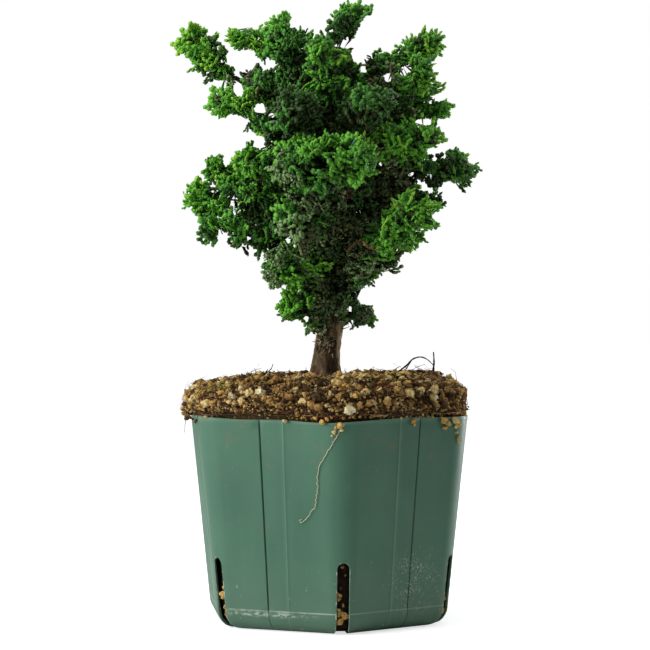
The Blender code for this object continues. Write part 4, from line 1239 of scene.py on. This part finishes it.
# Where the crown is open right through, as the front shows it: middle and half size in the picture.
SKY_GAPS = (
    (261, 109, 5.5, 4), (259, 142, 5, 3.5), (424, 122, 8.5, 2.5), (239, 91, 4, 4.5), (388, 78, 2.8, 4),
    (403, 72, 3, 4), (409, 68, 2, 2), (222, 236, 3, 3), (272, 116, 3, 2.5), (249, 237, 2.5, 2),
    (352, 323, 2.5, 2), (307, 319, 2, 2.5), (364, 70, 1.5, 2.5), (367, 201, 2.5, 1.5),
    (358, 212, 2.5, 1.5), (410, 174, 1.5, 2), (251, 250, 2, 1.5), (350, 309, 1.5, 2.5),
    (222, 61, 1.5, 1.5), (396, 134, 2, 1.2), (380, 164, 2, 1.3), (294, 180, 2, 1.3), (242, 22, 12, 6),
    (247, 54, 8, 4), (361, 38, 4.5, 9), (371, 24, 8, 7), (345, 44, 8, 3), (355, 54, 3, 6), (170, 55, 5, 4),
    (182, 62, 7, 4), (232, 57, 5, 8), (453, 206, 5, 8), (441, 216, 9, 3), (228, 17, 8, 6), (214, 150, 9, 4),
    (233, 121, 5, 6), (379, 310, 5, 8), (392, 284, 14, 10), (369, 296, 11, 8), (364, 330, 8, 3.5),
    (236, 121, 13, 3.5), (221, 84, 8, 2.5), (226, 251, 7, 4), (235, 145, 11, 4), (441, 97, 6, 3),
    (442, 123, 5, 2.5), (449, 187, 7, 4.5), (438, 67, 5, 4), (177, 200, 4, 10), (190, 217, 4, 6),
    (296, 324, 5, 4), (432, 151, 4, 2.5), (227, 158, 3, 8), (472, 159, 3.5, 4.5),
)
# Sprays that stand out at the front or the outline, by mass: the pixel that each reaches, and its mood.
ACCENTS = {
    "leader_crest": ((367, 8, 0.75), (361, 14, 0.6), (327, 27, 0.45), (331, 15, 0.6)),
    "crest_left": ((296, 25, 0.6), (273, 66, 0.55), (266, 60, 0.7)),
    "front_top": ((320, 36, 0.5),),
    "left_horn": ((229, 34, 1.1), (237, 41, 0.9)),
    "left_shoulder": ((270, 68, 0.4),),
    "top_left_arm": ((173, 42, 1.15), (182, 50, 1.0)),
    "left_upper_pad": ((213, 92, 0.95), (217, 108, 0.8), (241, 127, 0.5)),
    "left_mid_tip": ((202, 161, 0.95),),
    "left_low_under": ((246, 250, 0.3), (257, 257, 0.25), (262, 258, 0.4)),
    "right_horn": ((442, 43, 0.8),),
    "right_horn_under": ((438, 60, 0.7),),
    "right_upper_low": ((451, 108, 0.7), (448, 118, 0.6)),
    "right_far": ((461, 148, 0.5), (476, 173, 0.6), (468, 187, 0.5)),
    "right_low_far": ((431, 188, 0.3), (440, 225, 0.4)),
    "right_low": ((417, 249, 0.6),),
    "bottom_right": ((402, 257, 0.35),),
    "bottom_left": ((266, 266, 0.2), (283, 252, 0.8), (290, 262, 0.7)),
    "skirt_right": ((349, 330, 0.35),),
    "skirt_left": ((280, 303, 0.66),),
}
ACCENT_REACH = 1.3  # of its mass's radius
# Hollows in the foliage that open to the front: middle and radius.
HOLLOWS = (
    (6, -26, 167, 6.5), (8, -24, 158, 8.5), (19, -24, 169, 6), (4.5, -16, 147, 5.5),
    (-14, -26, 163, 4.5),
)


def unit(rows):
    return rows / np.linalg.norm(rows, axis=-1, keepdims=True)


def club(root, heading, side, length, width, plump):
    """A scale-leaved tip of seven points: thin at its root, and blunt at its end."""
    face = np.cross(heading, side) * plump / 2
    half = side * width / 2
    blunt = side * width * 0.33
    ring = root + heading * max(length * 0.5, length - 0.17)
    end = root + heading * length
    return [root, ring + half, ring + face, ring - half, ring - face, end + blunt, end - blunt]


CLUB_POINTS = 7
ROOT_FACES = ((0, 2, 1), (0, 3, 2), (0, 4, 3), (0, 1, 4))
END_FACES = ((1, 2, 5), (2, 6, 5), (2, 3, 6), (3, 4, 6), (4, 5, 6), (4, 1, 5))
CLUB_FACES = np.array((*ROOT_FACES, *END_FACES))
# Each branchlet: where it leaves the fan's axis, its reach, its angle in degrees and its side tips.
OLD_FAN = ((0.1, 0.48, 64, 1), (0.26, 0.5, 56, 1), (0.44, 0.42, 48, 1), (0.62, 0.3, 40, 0))
YOUNG_FAN = (
    (0.1, 0.46, 66, 2), (0.24, 0.5, 60, 2), (0.4, 0.44, 52, 2), (0.55, 0.34, 46, 1),
    (0.69, 0.26, 38, 0),
)


def fan_pattern(own, branchlets, width):
    """A fan of unit length: its clubs' points, how young each is, and which one it grows from."""
    points = []
    orders = []
    parents = []
    flat = np.array((0.0, 0.0, 1.0))

    def add(root, angle, length, wide, order, parent=0, tilt=0.0):
        heading = unit(np.array((math.cos(angle), math.sin(angle), tilt)))
        side = unit(np.cross(flat, heading))
        points.extend(club(root, heading, side, length, wide, wide * own.uniform(0.55, 0.85)))
        orders.append(order)
        parents.append(parent)

    add(np.zeros(3), own.normal(0, 0.05), 0.88, width * 0.6, 0)
    add(np.array((0.78, 0.0, 0.0)), own.normal(0, 0.12), 0.26, width, 2)
    for k, (start, reach, degrees, side_tips) in enumerate(branchlets):
        hand = 1 if k % 2 else -1
        angle = hand * math.radians(degrees + own.normal(0, 6))
        reach = reach * own.uniform(0.85, 1.15)
        root = np.array((start + own.normal(0, 0.015), 0.0, 0.0))
        tilt = own.normal(0, 0.18)
        order = 1 if k < 2 else 2
        branchlet = len(orders)
        add(root, angle, reach, width * own.uniform(0.85, 1.1), order, 0, tilt)
        heading = np.array((math.cos(angle), math.sin(angle), tilt))
        for n in range(side_tips):
            turn = (1 if (n + k // 2) % 2 else -1) * math.radians(own.uniform(40, 58))
            fork = root + heading * reach * (0.62 - 0.24 * n)
            tip = own.uniform(0.22, 0.28)
            add(fork, angle + turn, tip, width * own.uniform(0.85, 1.05), order, branchlet, tilt)
    return np.array(points), np.array(orders), np.array(parents)


def left_open(groups):
    """For each group of points, whether any of them would close a gap or a hollow."""
    across, down = shown_at(groups)
    ragged = 1 + 0.4 * np.sin(1.1 * across + 2 * np.sin(0.9 * down)) * np.cos(1.3 * down)
    found = np.zeros(groups.shape[:-1], bool)
    for column, row, half_width, half_height in SKY_GAPS:
        found |= ((across - column) / half_width) ** 2 + ((down - row) / half_height) ** 2 < ragged
    for *middle, radius in HOLLOWS:
        found |= ((groups - np.array(middle)) ** 2).sum(-1) < radius**2
    return found.any(-1)


def ways(starts, ends):
    """Points along the outer part of the way from each start to its end."""
    return starts[:, None] + (ends - starts)[:, None] * np.linspace(0.3, 1, 8)[:, None]


def thin_twigs(starts, ends, radii):
    """Three-sided spikes from each start to its end, unless one would cross a gap."""
    clear = ~left_open(ways(starts, ends))
    starts, ends, radii = starts[clear], ends[clear], radii[clear]
    ahead = unit(ends - starts)
    side = unit(np.cross(ahead, ahead[:, [1, 2, 0]] + 0.01))
    up = np.cross(ahead, side)
    ring = [side * math.cos(a) + up * math.sin(a) for a in (0.0, 2.094, 4.189)]
    rows = np.stack([starts + r * radii[:, None] for r in ring] + [ends], axis=1)
    pattern = np.array(((0, 1, 3), (1, 2, 3), (2, 0, 3), (0, 2, 1)))
    faces = pattern + 4 * np.arange(len(starts))[:, None, None]
    return rows.reshape(-1, 3), faces.reshape(-1, 3).tolist(), 0


def surfaces(mass, directions, shares):
    """Points a share of the way out in each direction, and the radius there."""
    inner, outer = np.array(mass.inner), np.array(mass.outer)
    t = (directions @ np.array(mass.axis) + 1) / 2
    middles = inner + (outer - inner) * t[:, None]
    radii = mass.inner_radius + (mass.outer_radius - mass.inner_radius) * t
    return middles + directions * (radii * shares)[:, None], radii


def spread(axis, turns, least=-1.0):
    """Directions spread evenly round an axis, down to the least cosine."""
    k = np.arange(len(turns))
    height = 1 - (1 - least) * (k + 0.5) / len(turns)
    turn = k * GOLDEN + turns
    ring = np.sqrt(1 - height**2)
    level = np.stack([ring * np.cos(turn), ring * np.sin(turn), height], axis=1)
    lean = np.array(Vector(axis).to_track_quat("Z", "Y").to_matrix())
    return level @ lean.T


site_rows = np.array([(*middle, radius) for m in masses for middle, radius in m.sites])
site_owner = np.array([m.order for m in masses for _ in m.sites])
limb_rows = np.array([(*middle, radius) for _, middle, radius in limbs])


def in_own_space(mass, groups, slack=CELL_SLACK):
    """For each group of points, whether all of them keep to this mass's side of every boundary."""
    flat = groups.reshape(-1, 3)
    power = ((flat[:, None] - site_rows[None, :, :3]) ** 2).sum(-1) - site_rows[None, :, 3] ** 2
    own = power[:, site_owner == mass.order].min(1)
    others = power[:, site_owner != mass.order].min(1)
    return (own < others + slack).reshape(groups.shape[:-1]).all(-1)


def clear_of_limbs(groups, margin):
    """For each group of points, whether all of them keep clear of the trunk, the boughs and the soil."""
    flat = groups.reshape(-1, 3)
    clear = np.ones(len(flat), bool)
    for first in range(0, len(flat), 400):
        rows = flat[first : first + 400]
        gap = np.linalg.norm(rows[:, None] - limb_rows[None, :, :3], axis=-1) - limb_rows[None, :, 3]
        clear[first : first + 400] = gap.min(1) > margin
    return clear.reshape(groups.shape[:-1]).all(-1) & (groups[..., 2].min(-1) > SOIL_TOP + 2)


def miss_of(point, column, row):
    """How far in millimetres a point passes to the side of what a pixel shows."""
    return (through_pixel(column, row, point.y) - point).length


def stem_path(mass):
    """The stem from the bough's tip or the trunk, through the mass's two centres."""
    if isinstance(mass.carrier, float):
        start, heading = leave_trunk(mass.carrier, mass.inner, STEM_RADIUS)
        back = start - heading * 2.5
    elif mass.carrier == "tip":
        start, heading = on_trunk(TRUNK[-1][0])[0] + UP * GAP, UP
        back = start - UP * 3
    else:
        tip, heading = tips[mass.carrier]
        start = tip + heading * GAP
        back = tip - heading * 2
        sharing = [m for m in masses if m.carrier == mass.carrier]
        if len(sharing) > 1:
            aside = mass.inner - sum((m.inner for m in sharing), Vector()) / len(sharing)
            aside -= heading * aside.dot(heading)
            start += aside.normalized() * FORK_OFFSET
    reach = mass.outer + mass.axis * mass.outer_radius * 0.3
    return [back, *bend(start, heading, mass.inner, 8), mass.outer, reach]


LEAF_COLOURS = {
    "tip_fresh": (0.24, 0.5, 0.045),
    "tip_green": (0.13, 0.39, 0.036),
    "leaf_bright": (0.076, 0.262, 0.034),
    "leaf_green": (0.058, 0.165, 0.029),
    "leaf_deep": (0.041, 0.088, 0.023),
    "leaf_dark": (0.021, 0.034, 0.013),
    "leaf_blue": (0.09, 0.2, 0.11),
    "leaf_sage": (0.19, 0.31, 0.115),
    "leaf_grey": (0.2, 0.255, 0.105),
    "leaf_olive": (0.085, 0.118, 0.042),
    "leaf_brown": (0.1, 0.062, 0.034),
}
FRESH, GREEN, BRIGHT, MIDDLE, DEEP, DARK, BLUE, SAGE, GREY, OLIVE, BROWN = range(11)
TONES = np.array(
    (
        ((BRIGHT, GREEN), (BRIGHT, GREEN), (GREEN, FRESH)),
        ((BLUE, BRIGHT), (MIDDLE, GREEN), (BRIGHT, GREEN)),
        ((BLUE, BRIGHT), (MIDDLE, BRIGHT), (MIDDLE, BRIGHT)),
        ((BLUE, MIDDLE), (DEEP, MIDDLE), (DEEP, MIDDLE)),
        ((DEEP, DEEP), (DARK, DEEP), (DARK, DEEP)),
        ((GREY, SAGE), (DARK, SAGE), (DEEP, SAGE)),
        ((OLIVE, GREY), (DARK, GREY), (DARK, GREY)),
        ((GREY, OLIVE), (DARK, OLIVE), (DARK, OLIVE)),
        ((OLIVE, BROWN), (DARK, BROWN), (DARK, BROWN)),
        ((DARK, DARK), (DARK, DARK), (DARK, DEEP)),
        ((BRIGHT, GREEN), (BRIGHT, GREEN), (GREEN, GREEN)),
    )
)  # root and end of the axis, of a fan's lower branchlets, and of its tips
SUNNY, LIVELY, BLUISH, QUIET, SHADED, TINGED, GREYED, DRIED, BROWNED, DARKEST, ALL_GREEN = range(11)
# The tone of a fan: the first one whose least mood it is over.
FRESH_TONES = {1.16: SUNNY, 0.94: ALL_GREEN, 0.74: LIVELY, 0.5: BLUISH, 0.24: QUIET, -math.inf: SHADED}
FADED_TONES = {0.45: TINGED, 0.15: GREYED, -math.inf: DRIED}
# The tone of an old one: the first one whose greatest fading it is under.
OLD_TONES = {0.12: QUIET, 0.5: SHADED, 0.75: DARKEST, 1.3: DRIED, math.inf: BROWNED}
YELLOWING_FROM = 212.0  # lower masses grow no yellow tips
LOW_MOOD = 1.09
# Young masses are fresher; lit masses are painted a little lighter and shade masses darker, for the light
# they stand in.
YOUTH_AND_PAINTED_LIGHT = {"young": 0.22, "lit": 0.04, "shade": -0.16, "dull": -0.1}
FADING = {"young": 0.0, "lit": 0.03, "shade": 0.1, "dull": 0.7}  # share of heads that have faded
FULLNESS = {"young": 0.86, "lit": 0.75, "shade": 0.56, "dull": 0.68}  # share of heads that grow
GREENER = "bottom_left"  # of the dull masses, the one that has faded least
REACH_LIGHT = 55.0  # how far from the trunk the foliage is at its freshest
UP_MOOD = 0.12  # how much fresher a head is that points up,
OUT_MOOD = 0.16  # points away from the trunk,
CLEAR_MOOD = 0.4  # lies clear of the trunk,
DRIFT_MOOD = 0.42  # lies in a fresh patch of the crown,
PROUD_MOOD = 1.7  # or stands proud of its mass
# Besides fresher or duller growth, these lift some masses as painted light and darken others as painted
# shade.
MASS_MOOD_AND_PAINTED_LIGHT = {
    "left_horn": 0.5,
    "leader_crest": 0.1,
    "crest_left": 0.05,
    "right_horn": 0.24,
    "left_upper_pad": 0.05,
    "front_upper_left": -0.46,
    "front_upper_right": -0.28,
    "front_top": 0.22,
    "left_low": 0.14,
    "left_low_under": 0.1,
    "right_mid": 0.46,
    "right_low": 0.34,
    "right_upper_pad": 0.18,
    "bottom_right": 1.0,
    "bottom_left": 0.8,
    "skirt_right": 0.75,
    "front_low": -0.22,
    "centre_front": -0.06,
    "top_left_arm": 0.16,
    "right_low_far": -0.5,
    "skirt_left": 0.1,
    "right_far": 0.1,
}  # how much fresher or duller than the rest of its kind a mass is

pattern_rng = np.random.default_rng(21)
young_patterns = [fan_pattern(pattern_rng, YOUNG_FAN, YOUNG_WIDTH) for _ in range(FAN_KINDS)]
old_patterns = [fan_pattern(pattern_rng, OLD_FAN, OLD_WIDTH) for _ in range(FAN_KINDS)]


def first_over(mood, tones):
    return np.select([mood > least for least in tones], list(tones.values()))


def first_under(fading, tones):
    return np.select([fading < most for most in tones], list(tones.values()))


def grow_fans(owner, kinds, fits, starts, headings, asides, lengths, tones, own):
    """Sets out the fans that fit, and keeps their clubs' points and finishes with their owner."""
    starts, headings, asides = starts[fits], headings[fits], asides[fits]
    lengths, tones = lengths[fits], tones[fits]
    picks = own.integers(0, FAN_KINDS, len(starts))
    cup = own.uniform(0.1, 0.8, len(starts))[:, None]
    wave = own.normal(0, 0.18, len(starts))[:, None]
    u, v, w = np.moveaxis(np.stack([kinds[k][0] for k in picks]), -1, 0)
    w = w + cup * v**2 + wave * u**2
    flat = u[..., None] * headings[:, None] + v[..., None] * asides[:, None]
    deep = w[..., None] * np.cross(headings, asides)[:, None]
    points = starts[:, None] + lengths[:, None, None] * (flat + deep)
    orders = np.stack([kinds[k][1] for k in picks])
    clubs = points.reshape(len(starts), -1, CLUB_POINTS, 3)
    kept = ~left_open(clubs)
    parents = kinds[0][2]
    for _ in range(2):
        kept &= kept[:, parents]
    owner.append((clubs[kept].reshape(-1, 3), TONES[tones[:, None], orders][kept]))


def fan_corners(starts, headings, asides, lengths):
    ahead = headings * lengths[:, None]
    low = starts + ahead * 0.6
    wide = asides * lengths[:, None] * 0.42
    return np.stack([starts, starts + ahead, low + wide, low - wide], axis=1)


mass_leaves = {m.name: [] for m in masses}  # (points, finishes of the clubs)
twig_parts = []
stem_parts = []
for mass in masses:
    own = np.random.default_rng(100 + mass.order)
    axis = np.array(mass.axis)
    path = stem_path(mass)
    sizes = [STEM_RADIUS * (1.05 - 0.65 * k / (len(path) - 1)) for k in range(len(path))]
    stem_parts.append((*tube(path, sizes, 7), 0))

    seeded = random.Random(100 + mass.order)
    count = max(LEAST_MAINS, round(mass.area / SPRAY_AREA))
    draws = np.array([[seeded.uniform(*span) for span in MAIN_DRAWS] for _ in range(count)])
    mains = spread(axis, draws[:, 0])
    forks, _ = surfaces(mass, mains, np.zeros(count))
    roots, radii = surfaces(mass, mains, np.full(count, TWIG_ROOT))
    lengths = np.clip(radii * (1.09 - TWIG_ROOT) * draws[:, 2], *SPRAY_LENGTH)
    shares = TWIG_ROOT + lengths / radii
    kept = in_own_space(mass, roots[:, None], 0) & clear_of_limbs(roots[:, None], 0.5)
    twig_parts.append(thin_twigs(forks[kept], roots[kept], np.full(kept.sum(), TWIG_RADIUS)))

    # Each main twig ends in a head of fans, and a few more heads fork off round it.
    extra = own.random(count * 2) < FORKS / 2
    carriers = np.concatenate([np.arange(count), np.tile(np.arange(count), 2)[extra]])
    number = len(carriers)
    beside = np.arange(number) >= count
    widen = np.radians(own.uniform(*FORK_ANGLE, number)) * math.sqrt(LEAST_MAINS / count)
    heads = unit(np.cross(mains[carriers], own.normal(0, 1, (number, 3)))) * np.tan(widen * beside)[:, None]
    heads = unit(mains[carriers] + heads)
    side_reaches = own.uniform(*SIDE_REACH, number)
    reaches = shares[carriers] * np.where(beside, side_reaches, own.uniform(*HEAD_REACH, number))
    head_ends, radii = surfaces(mass, heads, reaches)
    head_headings = unit(0.75 * heads + 0.3 * mains[carriers] + 0.3 * axis + 0.12 * np.array(UP))
    head_headings = unit(head_headings + own.normal(0, 0.2, heads.shape))
    head_lengths = np.minimum(own.uniform(*FAN_LENGTH, number), radii * 0.8 + 1.5)
    knots = head_ends - head_headings * head_lengths[:, None] * 0.95
    good = in_own_space(mass, knots[:, None]) & clear_of_limbs(knots[:, None], 0.6)
    bases = forks[carriers] + (roots - forks)[carriers] * own.uniform(0.2, 0.9, (number, 1))
    good &= ~left_open(ways(bases, knots)) & (own.random(number) < FULLNESS[mass.tint])
    twig_parts.append(thin_twigs(bases[good], knots[good], own.uniform(0.3, 0.42, good.sum())))
    along = heads @ axis
    clear_of_trunk = np.minimum(np.hypot(head_ends[:, 0] - 5, head_ends[:, 1]) / REACH_LIGHT, 1)
    drift = np.array([noise.noise(Vector(end) / 13) for end in head_ends])
    # The mood carries each mass's painted light and shade, from its tint and its own offset.
    mood = 0.5 + YOUTH_AND_PAINTED_LIGHT[mass.tint] + MASS_MOOD_AND_PAINTED_LIGHT.get(mass.name, 0.0) + UP_MOOD * heads[:, 2] + OUT_MOOD * along
    mood += CLEAR_MOOD * (clear_of_trunk - 0.55)
    proud = PROUD_MOOD * (reaches / shares[carriers] - 0.9)
    mood += DRIFT_MOOD * drift + proud + own.normal(0, 0.17, number)
    if mass.outer.z < YELLOWING_FROM:
        mood = np.minimum(mood, LOW_MOOD)
    fading = FADING[mass.tint] - (0.4 if mass.name == GREENER else 0.0)
    faded = own.random(number) + 0.25 * along + 0.3 * drift < fading
    for column, row, fresh in ACCENTS.get(mass.name, ()):
        middle, radius = min(mass.sites, key=lambda site: miss_of(site[0], column, row) - site[1])
        end = through_pixel(column, row, middle.y)
        out = (end - middle).normalized()
        end = middle + out * min((end - middle).length, radius * ACCENT_REACH)
        knot = end - out * FAN_LENGTH[1] * 0.9
        knots = np.vstack([knots, knot])
        head_headings = np.vstack([head_headings, out])
        head_lengths = np.append(head_lengths, FAN_LENGTH[1])
        good, faded, mood = np.append(good, True), np.append(faded, False), np.append(mood, fresh)
        twig_parts.append(thin_twigs(np.array([middle]), np.array([knot]), np.array([0.4])))

    for k in np.flatnonzero(good):
        fans = own.integers(*HEAD_FANS)
        headings = spread(head_headings[k], own.uniform(-0.6, 0.6, fans), math.cos(math.radians(HEAD_SPREAD)))
        droop = np.array(UP) * (-0.45 if faded[k] else 0.0)
        headings = unit(headings + own.normal(0, 0.14, headings.shape) + droop)
        lengths = head_lengths[k] * own.uniform(0.78, 1.12, fans)
        looks = head_headings[k] + own.normal(0, 0.5, headings.shape)
        asides = unit(np.cross(headings, looks))
        starts = knots[k] + own.normal(0, 0.6, headings.shape)
        corners = fan_corners(starts, headings, asides, lengths)[:, 1:]
        fits = in_own_space(mass, corners) & clear_of_limbs(corners, 0.3)
        if not fits.any():
            continue
        facing = headings @ head_headings[k]
        score = mood[k] + 0.18 * (facing - 0.7) + 0.08 * headings[:, 2] + own.normal(0, 0.09, fans)
        tones = first_over(score, FADED_TONES if faded[k] else FRESH_TONES)
        grow_fans(mass_leaves[mass.name], young_patterns, fits, starts, headings, asides, lengths, tones, own)

    # Old fans stay on deeper in, larger and faded.
    older = spread(axis, own.uniform(-0.6, 0.6, OLD_FANS))
    old_ends, radii = surfaces(mass, older, own.uniform(0.5, 0.82, OLD_FANS))
    headings = unit(older + own.normal(0, 0.35, older.shape) + 0.2 * axis)
    lengths = np.minimum(own.uniform(*OLD_LENGTH, OLD_FANS), radii * 0.8)
    asides = unit(np.cross(headings, own.normal(0, 1, headings.shape)))
    starts = old_ends - headings * lengths[:, None]
    corners = fan_corners(starts, headings, asides, lengths)
    fits = in_own_space(mass, corners) & clear_of_limbs(corners, 0.2)
    tones = first_under(own.random(OLD_FANS) + FADING[mass.tint] * 0.5, OLD_TONES)
    grow_fans(mass_leaves[mass.name], old_patterns, fits, starts, headings, asides, lengths, tones, own)

# Faded fans and bare twigs also hang on along the boughs and the trunk, wherever the crown shades them.
# They stay inside the crown's outline, seen from the front and from the side.
SHADED_STEP = 2.7  # along a limb, between one shaded tuft and the next
HIGH_SHARE = 0.55  # of those tufts, that grow above the trunk's sleeve
SHADED_REACH = (4.0, 13.0)
SHADED_FANS = 3
SHADED_FOOT = 124.0
SLEEVE_DARK = 139.0  # above this the sleeve is in deep shade
SLEEVE_TOP = 178.0  # the trunk is hidden by its own tufts up to here
SLEEVE_REACH = 11.0  # from the trunk's middle
LOW_LEAVES = 170.0  # below this the tufts belong to the lower piece
SHADED_TONES = {0.1: QUIET, 0.45: SHADED, 0.6: GREYED, 0.96: DRIED, math.inf: BROWNED}
LOW_SLEEVE_TONES = {0.35: BLUISH, 0.62: QUIET, 0.82: TINGED, math.inf: DRIED}
# Above the dark line the sleeve's tufts are painted darkest, as the shade in the hollow.
SLEEVE_PAINTED_SHADE_TONES = {0.62: DARKEST, 0.82: SHADED, math.inf: DRIED}


def hidden_in_crown(points, margin):
    """Whether each point lies behind or in front of a mass, seen from the front, and from the side."""
    found = np.ones(len(points), bool)
    for keep in ([0, 2], [1, 2]):
        gap = np.linalg.norm(points[:, None][..., keep] - site_rows[None, :, :3][..., keep], axis=-1)
        found &= (site_rows[None, :, 3] - gap).max(1) > margin
    return found


def by_trunk(points):
    """Whether each point keeps within the sleeve of tufts round the lower trunk."""
    found = []
    for point in points:
        middle, radius = on_trunk(max(point[2], TRUNK_FOOT))
        wide = 0.45 + 0.55 * min(1.0, max(0.0, (point[2] - SHADED_FOOT) / 14))
        near = math.hypot(point[0] - middle.x, point[1] - middle.y) < radius + SLEEVE_REACH * wide
        found.append(near and SHADED_FOOT + 1 < point[2] < SLEEVE_TOP)
    return np.array(found)


own = np.random.default_rng(77)
shaded = []
limb_middles = [(middle, radius) for _, middle, radius in limbs if middle.z > SHADED_FOOT]
limb_middles += [(m, r) for owner, m, r in limbs if owner == "trunk" and SHADED_FOOT < m.z < SLEEVE_TOP] * 3
for middle, radius in limb_middles:
    chance = (1.0 if middle.z < SLEEVE_TOP else HIGH_SHARE) / SHADED_STEP
    for _ in range(2 if own.random() < chance else 0):
        out = unit(unit(own.normal(0, 1, 3)) + np.array((0, -0.25, 0.1)))
        reach = own.uniform(*SHADED_REACH)
        shaded.append((np.array(middle) + out * radius * 0.7, np.array(middle) + out * (radius + reach), out))
starts, ends, outs = np.moveaxis(np.array(shaded), 1, 0)
inside = ((ends[:, None] - site_rows[None, :, :3]) ** 2).sum(-1) < (site_rows[None, :, 3] * 0.62) ** 2
good = (hidden_in_crown(ends, 2.0) | by_trunk(ends)) & ~inside.any(1) & clear_of_limbs(ends[:, None], 0.8)
good &= ~left_open(ways(starts, ends))
starts, ends, outs = starts[good], ends[good], outs[good]
twig_parts.append(thin_twigs(starts, ends, own.uniform(0.25, 0.42, len(ends))))
shaded_leaves = {"leaves_shaded_low": [], "leaves_shaded_high": []}
for end, out in zip(ends, outs, strict=True):
    grown = shaded_leaves["leaves_shaded_low" if end[2] < LOW_LEAVES else "leaves_shaded_high"]
    headings = spread(out, own.uniform(-0.4, 0.4, SHADED_FANS), 0.1)
    headings = unit(headings + own.normal(0, 0.2, headings.shape) + np.array((0, 0, 0.15)))
    lengths = own.uniform(*OLD_LENGTH, SHADED_FANS) * 0.85
    asides = unit(np.cross(headings, own.normal(0, 1, headings.shape)))
    roots = end - headings * lengths[:, None] * own.uniform(0.25, 0.6, (SHADED_FANS, 1))
    tip_ends = roots + headings * lengths[:, None]
    fits = hidden_in_crown(tip_ends, 0.6) | by_trunk(tip_ends)
    fits &= clear_of_limbs(fan_corners(roots, headings, asides, lengths)[:, 1:], 0.2)
    faded = own.random() + own.normal(0, 0.12, SHADED_FANS)
    tones = first_under(faded, SHADED_TONES)
    # In the sleeve, tufts above the dark line are painted darkest as shade.
    if by_trunk([end])[0]:
        tones = first_under(faded, LOW_SLEEVE_TONES if end[2] < SLEEVE_DARK else SLEEVE_PAINTED_SHADE_TONES)
    if fits.any():
        grow_fans(grown, old_patterns, fits, roots, headings, asides, lengths, tones, own)

# Each mass has one stem, a thinner run of its bough or of the trunk through the middle of its foliage.
# It is young wood in thin grey-brown bark, and the twigs fork off all along it.
TWIG_TONES = ((0.035, 0.02, 0.01), (0.1, 0.058, 0.03), (0.22, 0.14, 0.085), (0.16, 0.08, 0.045))
twig_bark = bark_finish("twig_bark", *TWIG_TONES)
stems = mesh_piece("stems", stem_parts, [twig_bark])

# A few dead twigs have lost their leaves and show reddish brown in the hollows.
# They are dry and crooked, and still fixed to the lower trunk.
BARE_TWIGS = (
    (
        ((7.2, -4, 153), (9, -14, 158), (13, -25, 163.5), (16, -30, 162), (19.5, -33, 159.5), (22, -34, 159)),
        0.5,
    ),
    (((16, -30, 162), (18, -32.5, 160), (20.5, -33.5, 160.5)), 0.45),
    (((6, -4, 168), (7.2, -13, 175), (8.6, -23, 181.5), (9.4, -29, 188)), 0.72),
)  # stations and radius at the trunk
BARE_TONES = ((0.05, 0.026, 0.013), (0.2, 0.1, 0.045), (0.5, 0.3, 0.14), (0.22, 0.1, 0.05))

bare_parts = []
for stations, radius in BARE_TWIGS:
    path = smooth_path([Vector(station) for station in stations], 5)
    path = [spot + Vector([scar_rng.uniform(-0.35, 0.35) for _ in range(3)]) for spot in path]
    sizes = [radius * (1 - 0.6 * k / len(path)) * scar_rng.uniform(0.85, 1.2) for k in range(len(path))]
    bare_parts.append((*tube(path, sizes, 6), 0))
bare = mesh_piece("bare_twigs", bare_parts, [bark_finish("dead_wood", *BARE_TONES)])

# The twigs are thin woody spikes from the stems to the heads of leaves, in the stems' own bark.
# Leaves hide most of them, and none crosses a place where the crown is open right through.
twigs = mesh_piece("twigs", twig_parts, [twig_bark])

# The leaves are tiny blunt scales that hug the last twigs and end in flat cupped fans, packed into heads.
# New growth at the ends is yellow-green, last year's is blue-green, and what gets no light fades and browns.
LEAF_PIECES = {
    "leaves_top": ("leader_crest", "crest_left", "left_horn", "front_top", "back_top", "right_shoulder"),
    "leaves_top_left": (
        "top_left_arm", "left_shoulder", "left_upper_pad", "front_upper_left", "back_upper_left",
    ),
    "leaves_top_right": (
        "right_horn", "right_horn_under", "right_upper_pad", "right_upper_low", "front_upper_right",
        "back_upper_right",
    ),
    "leaves_left": ("left_mid", "left_mid_tip", "left_low", "left_low_under", "bottom_left", "skirt_left"),
    "leaves_right": ("right_mid", "right_far", "right_low_far", "right_low", "bottom_right", "skirt_right"),
    "leaves_front": ("centre_front", "front_low"),
    "leaves_back": ("back_centre", "back_low_left", "back_low_right", "back_low", "skirt_back"),
}
leaf_finishes = [plain_finish(name, colour, 0.58, 0.16)[0] for name, colour in LEAF_COLOURS.items()]


def leaf_piece(name, grown):
    points = np.concatenate([part[0] for part in grown])
    finishes = np.concatenate([part[1] for part in grown])
    triangles = CLUB_FACES + CLUB_POINTS * np.arange(len(finishes))[:, None, None]
    each = np.repeat(finishes, (len(ROOT_FACES), len(END_FACES)), axis=1).ravel()
    return mesh_piece(name, [(points, triangles.reshape(-1, 3).tolist(), each)], leaf_finishes)


for name, members in LEAF_PIECES.items():
    leaves = leaf_piece(name, [part for m in members for part in mass_leaves[m]])
    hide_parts(*members)
for name, grown in shaded_leaves.items():
    leaf_piece(name, grown)
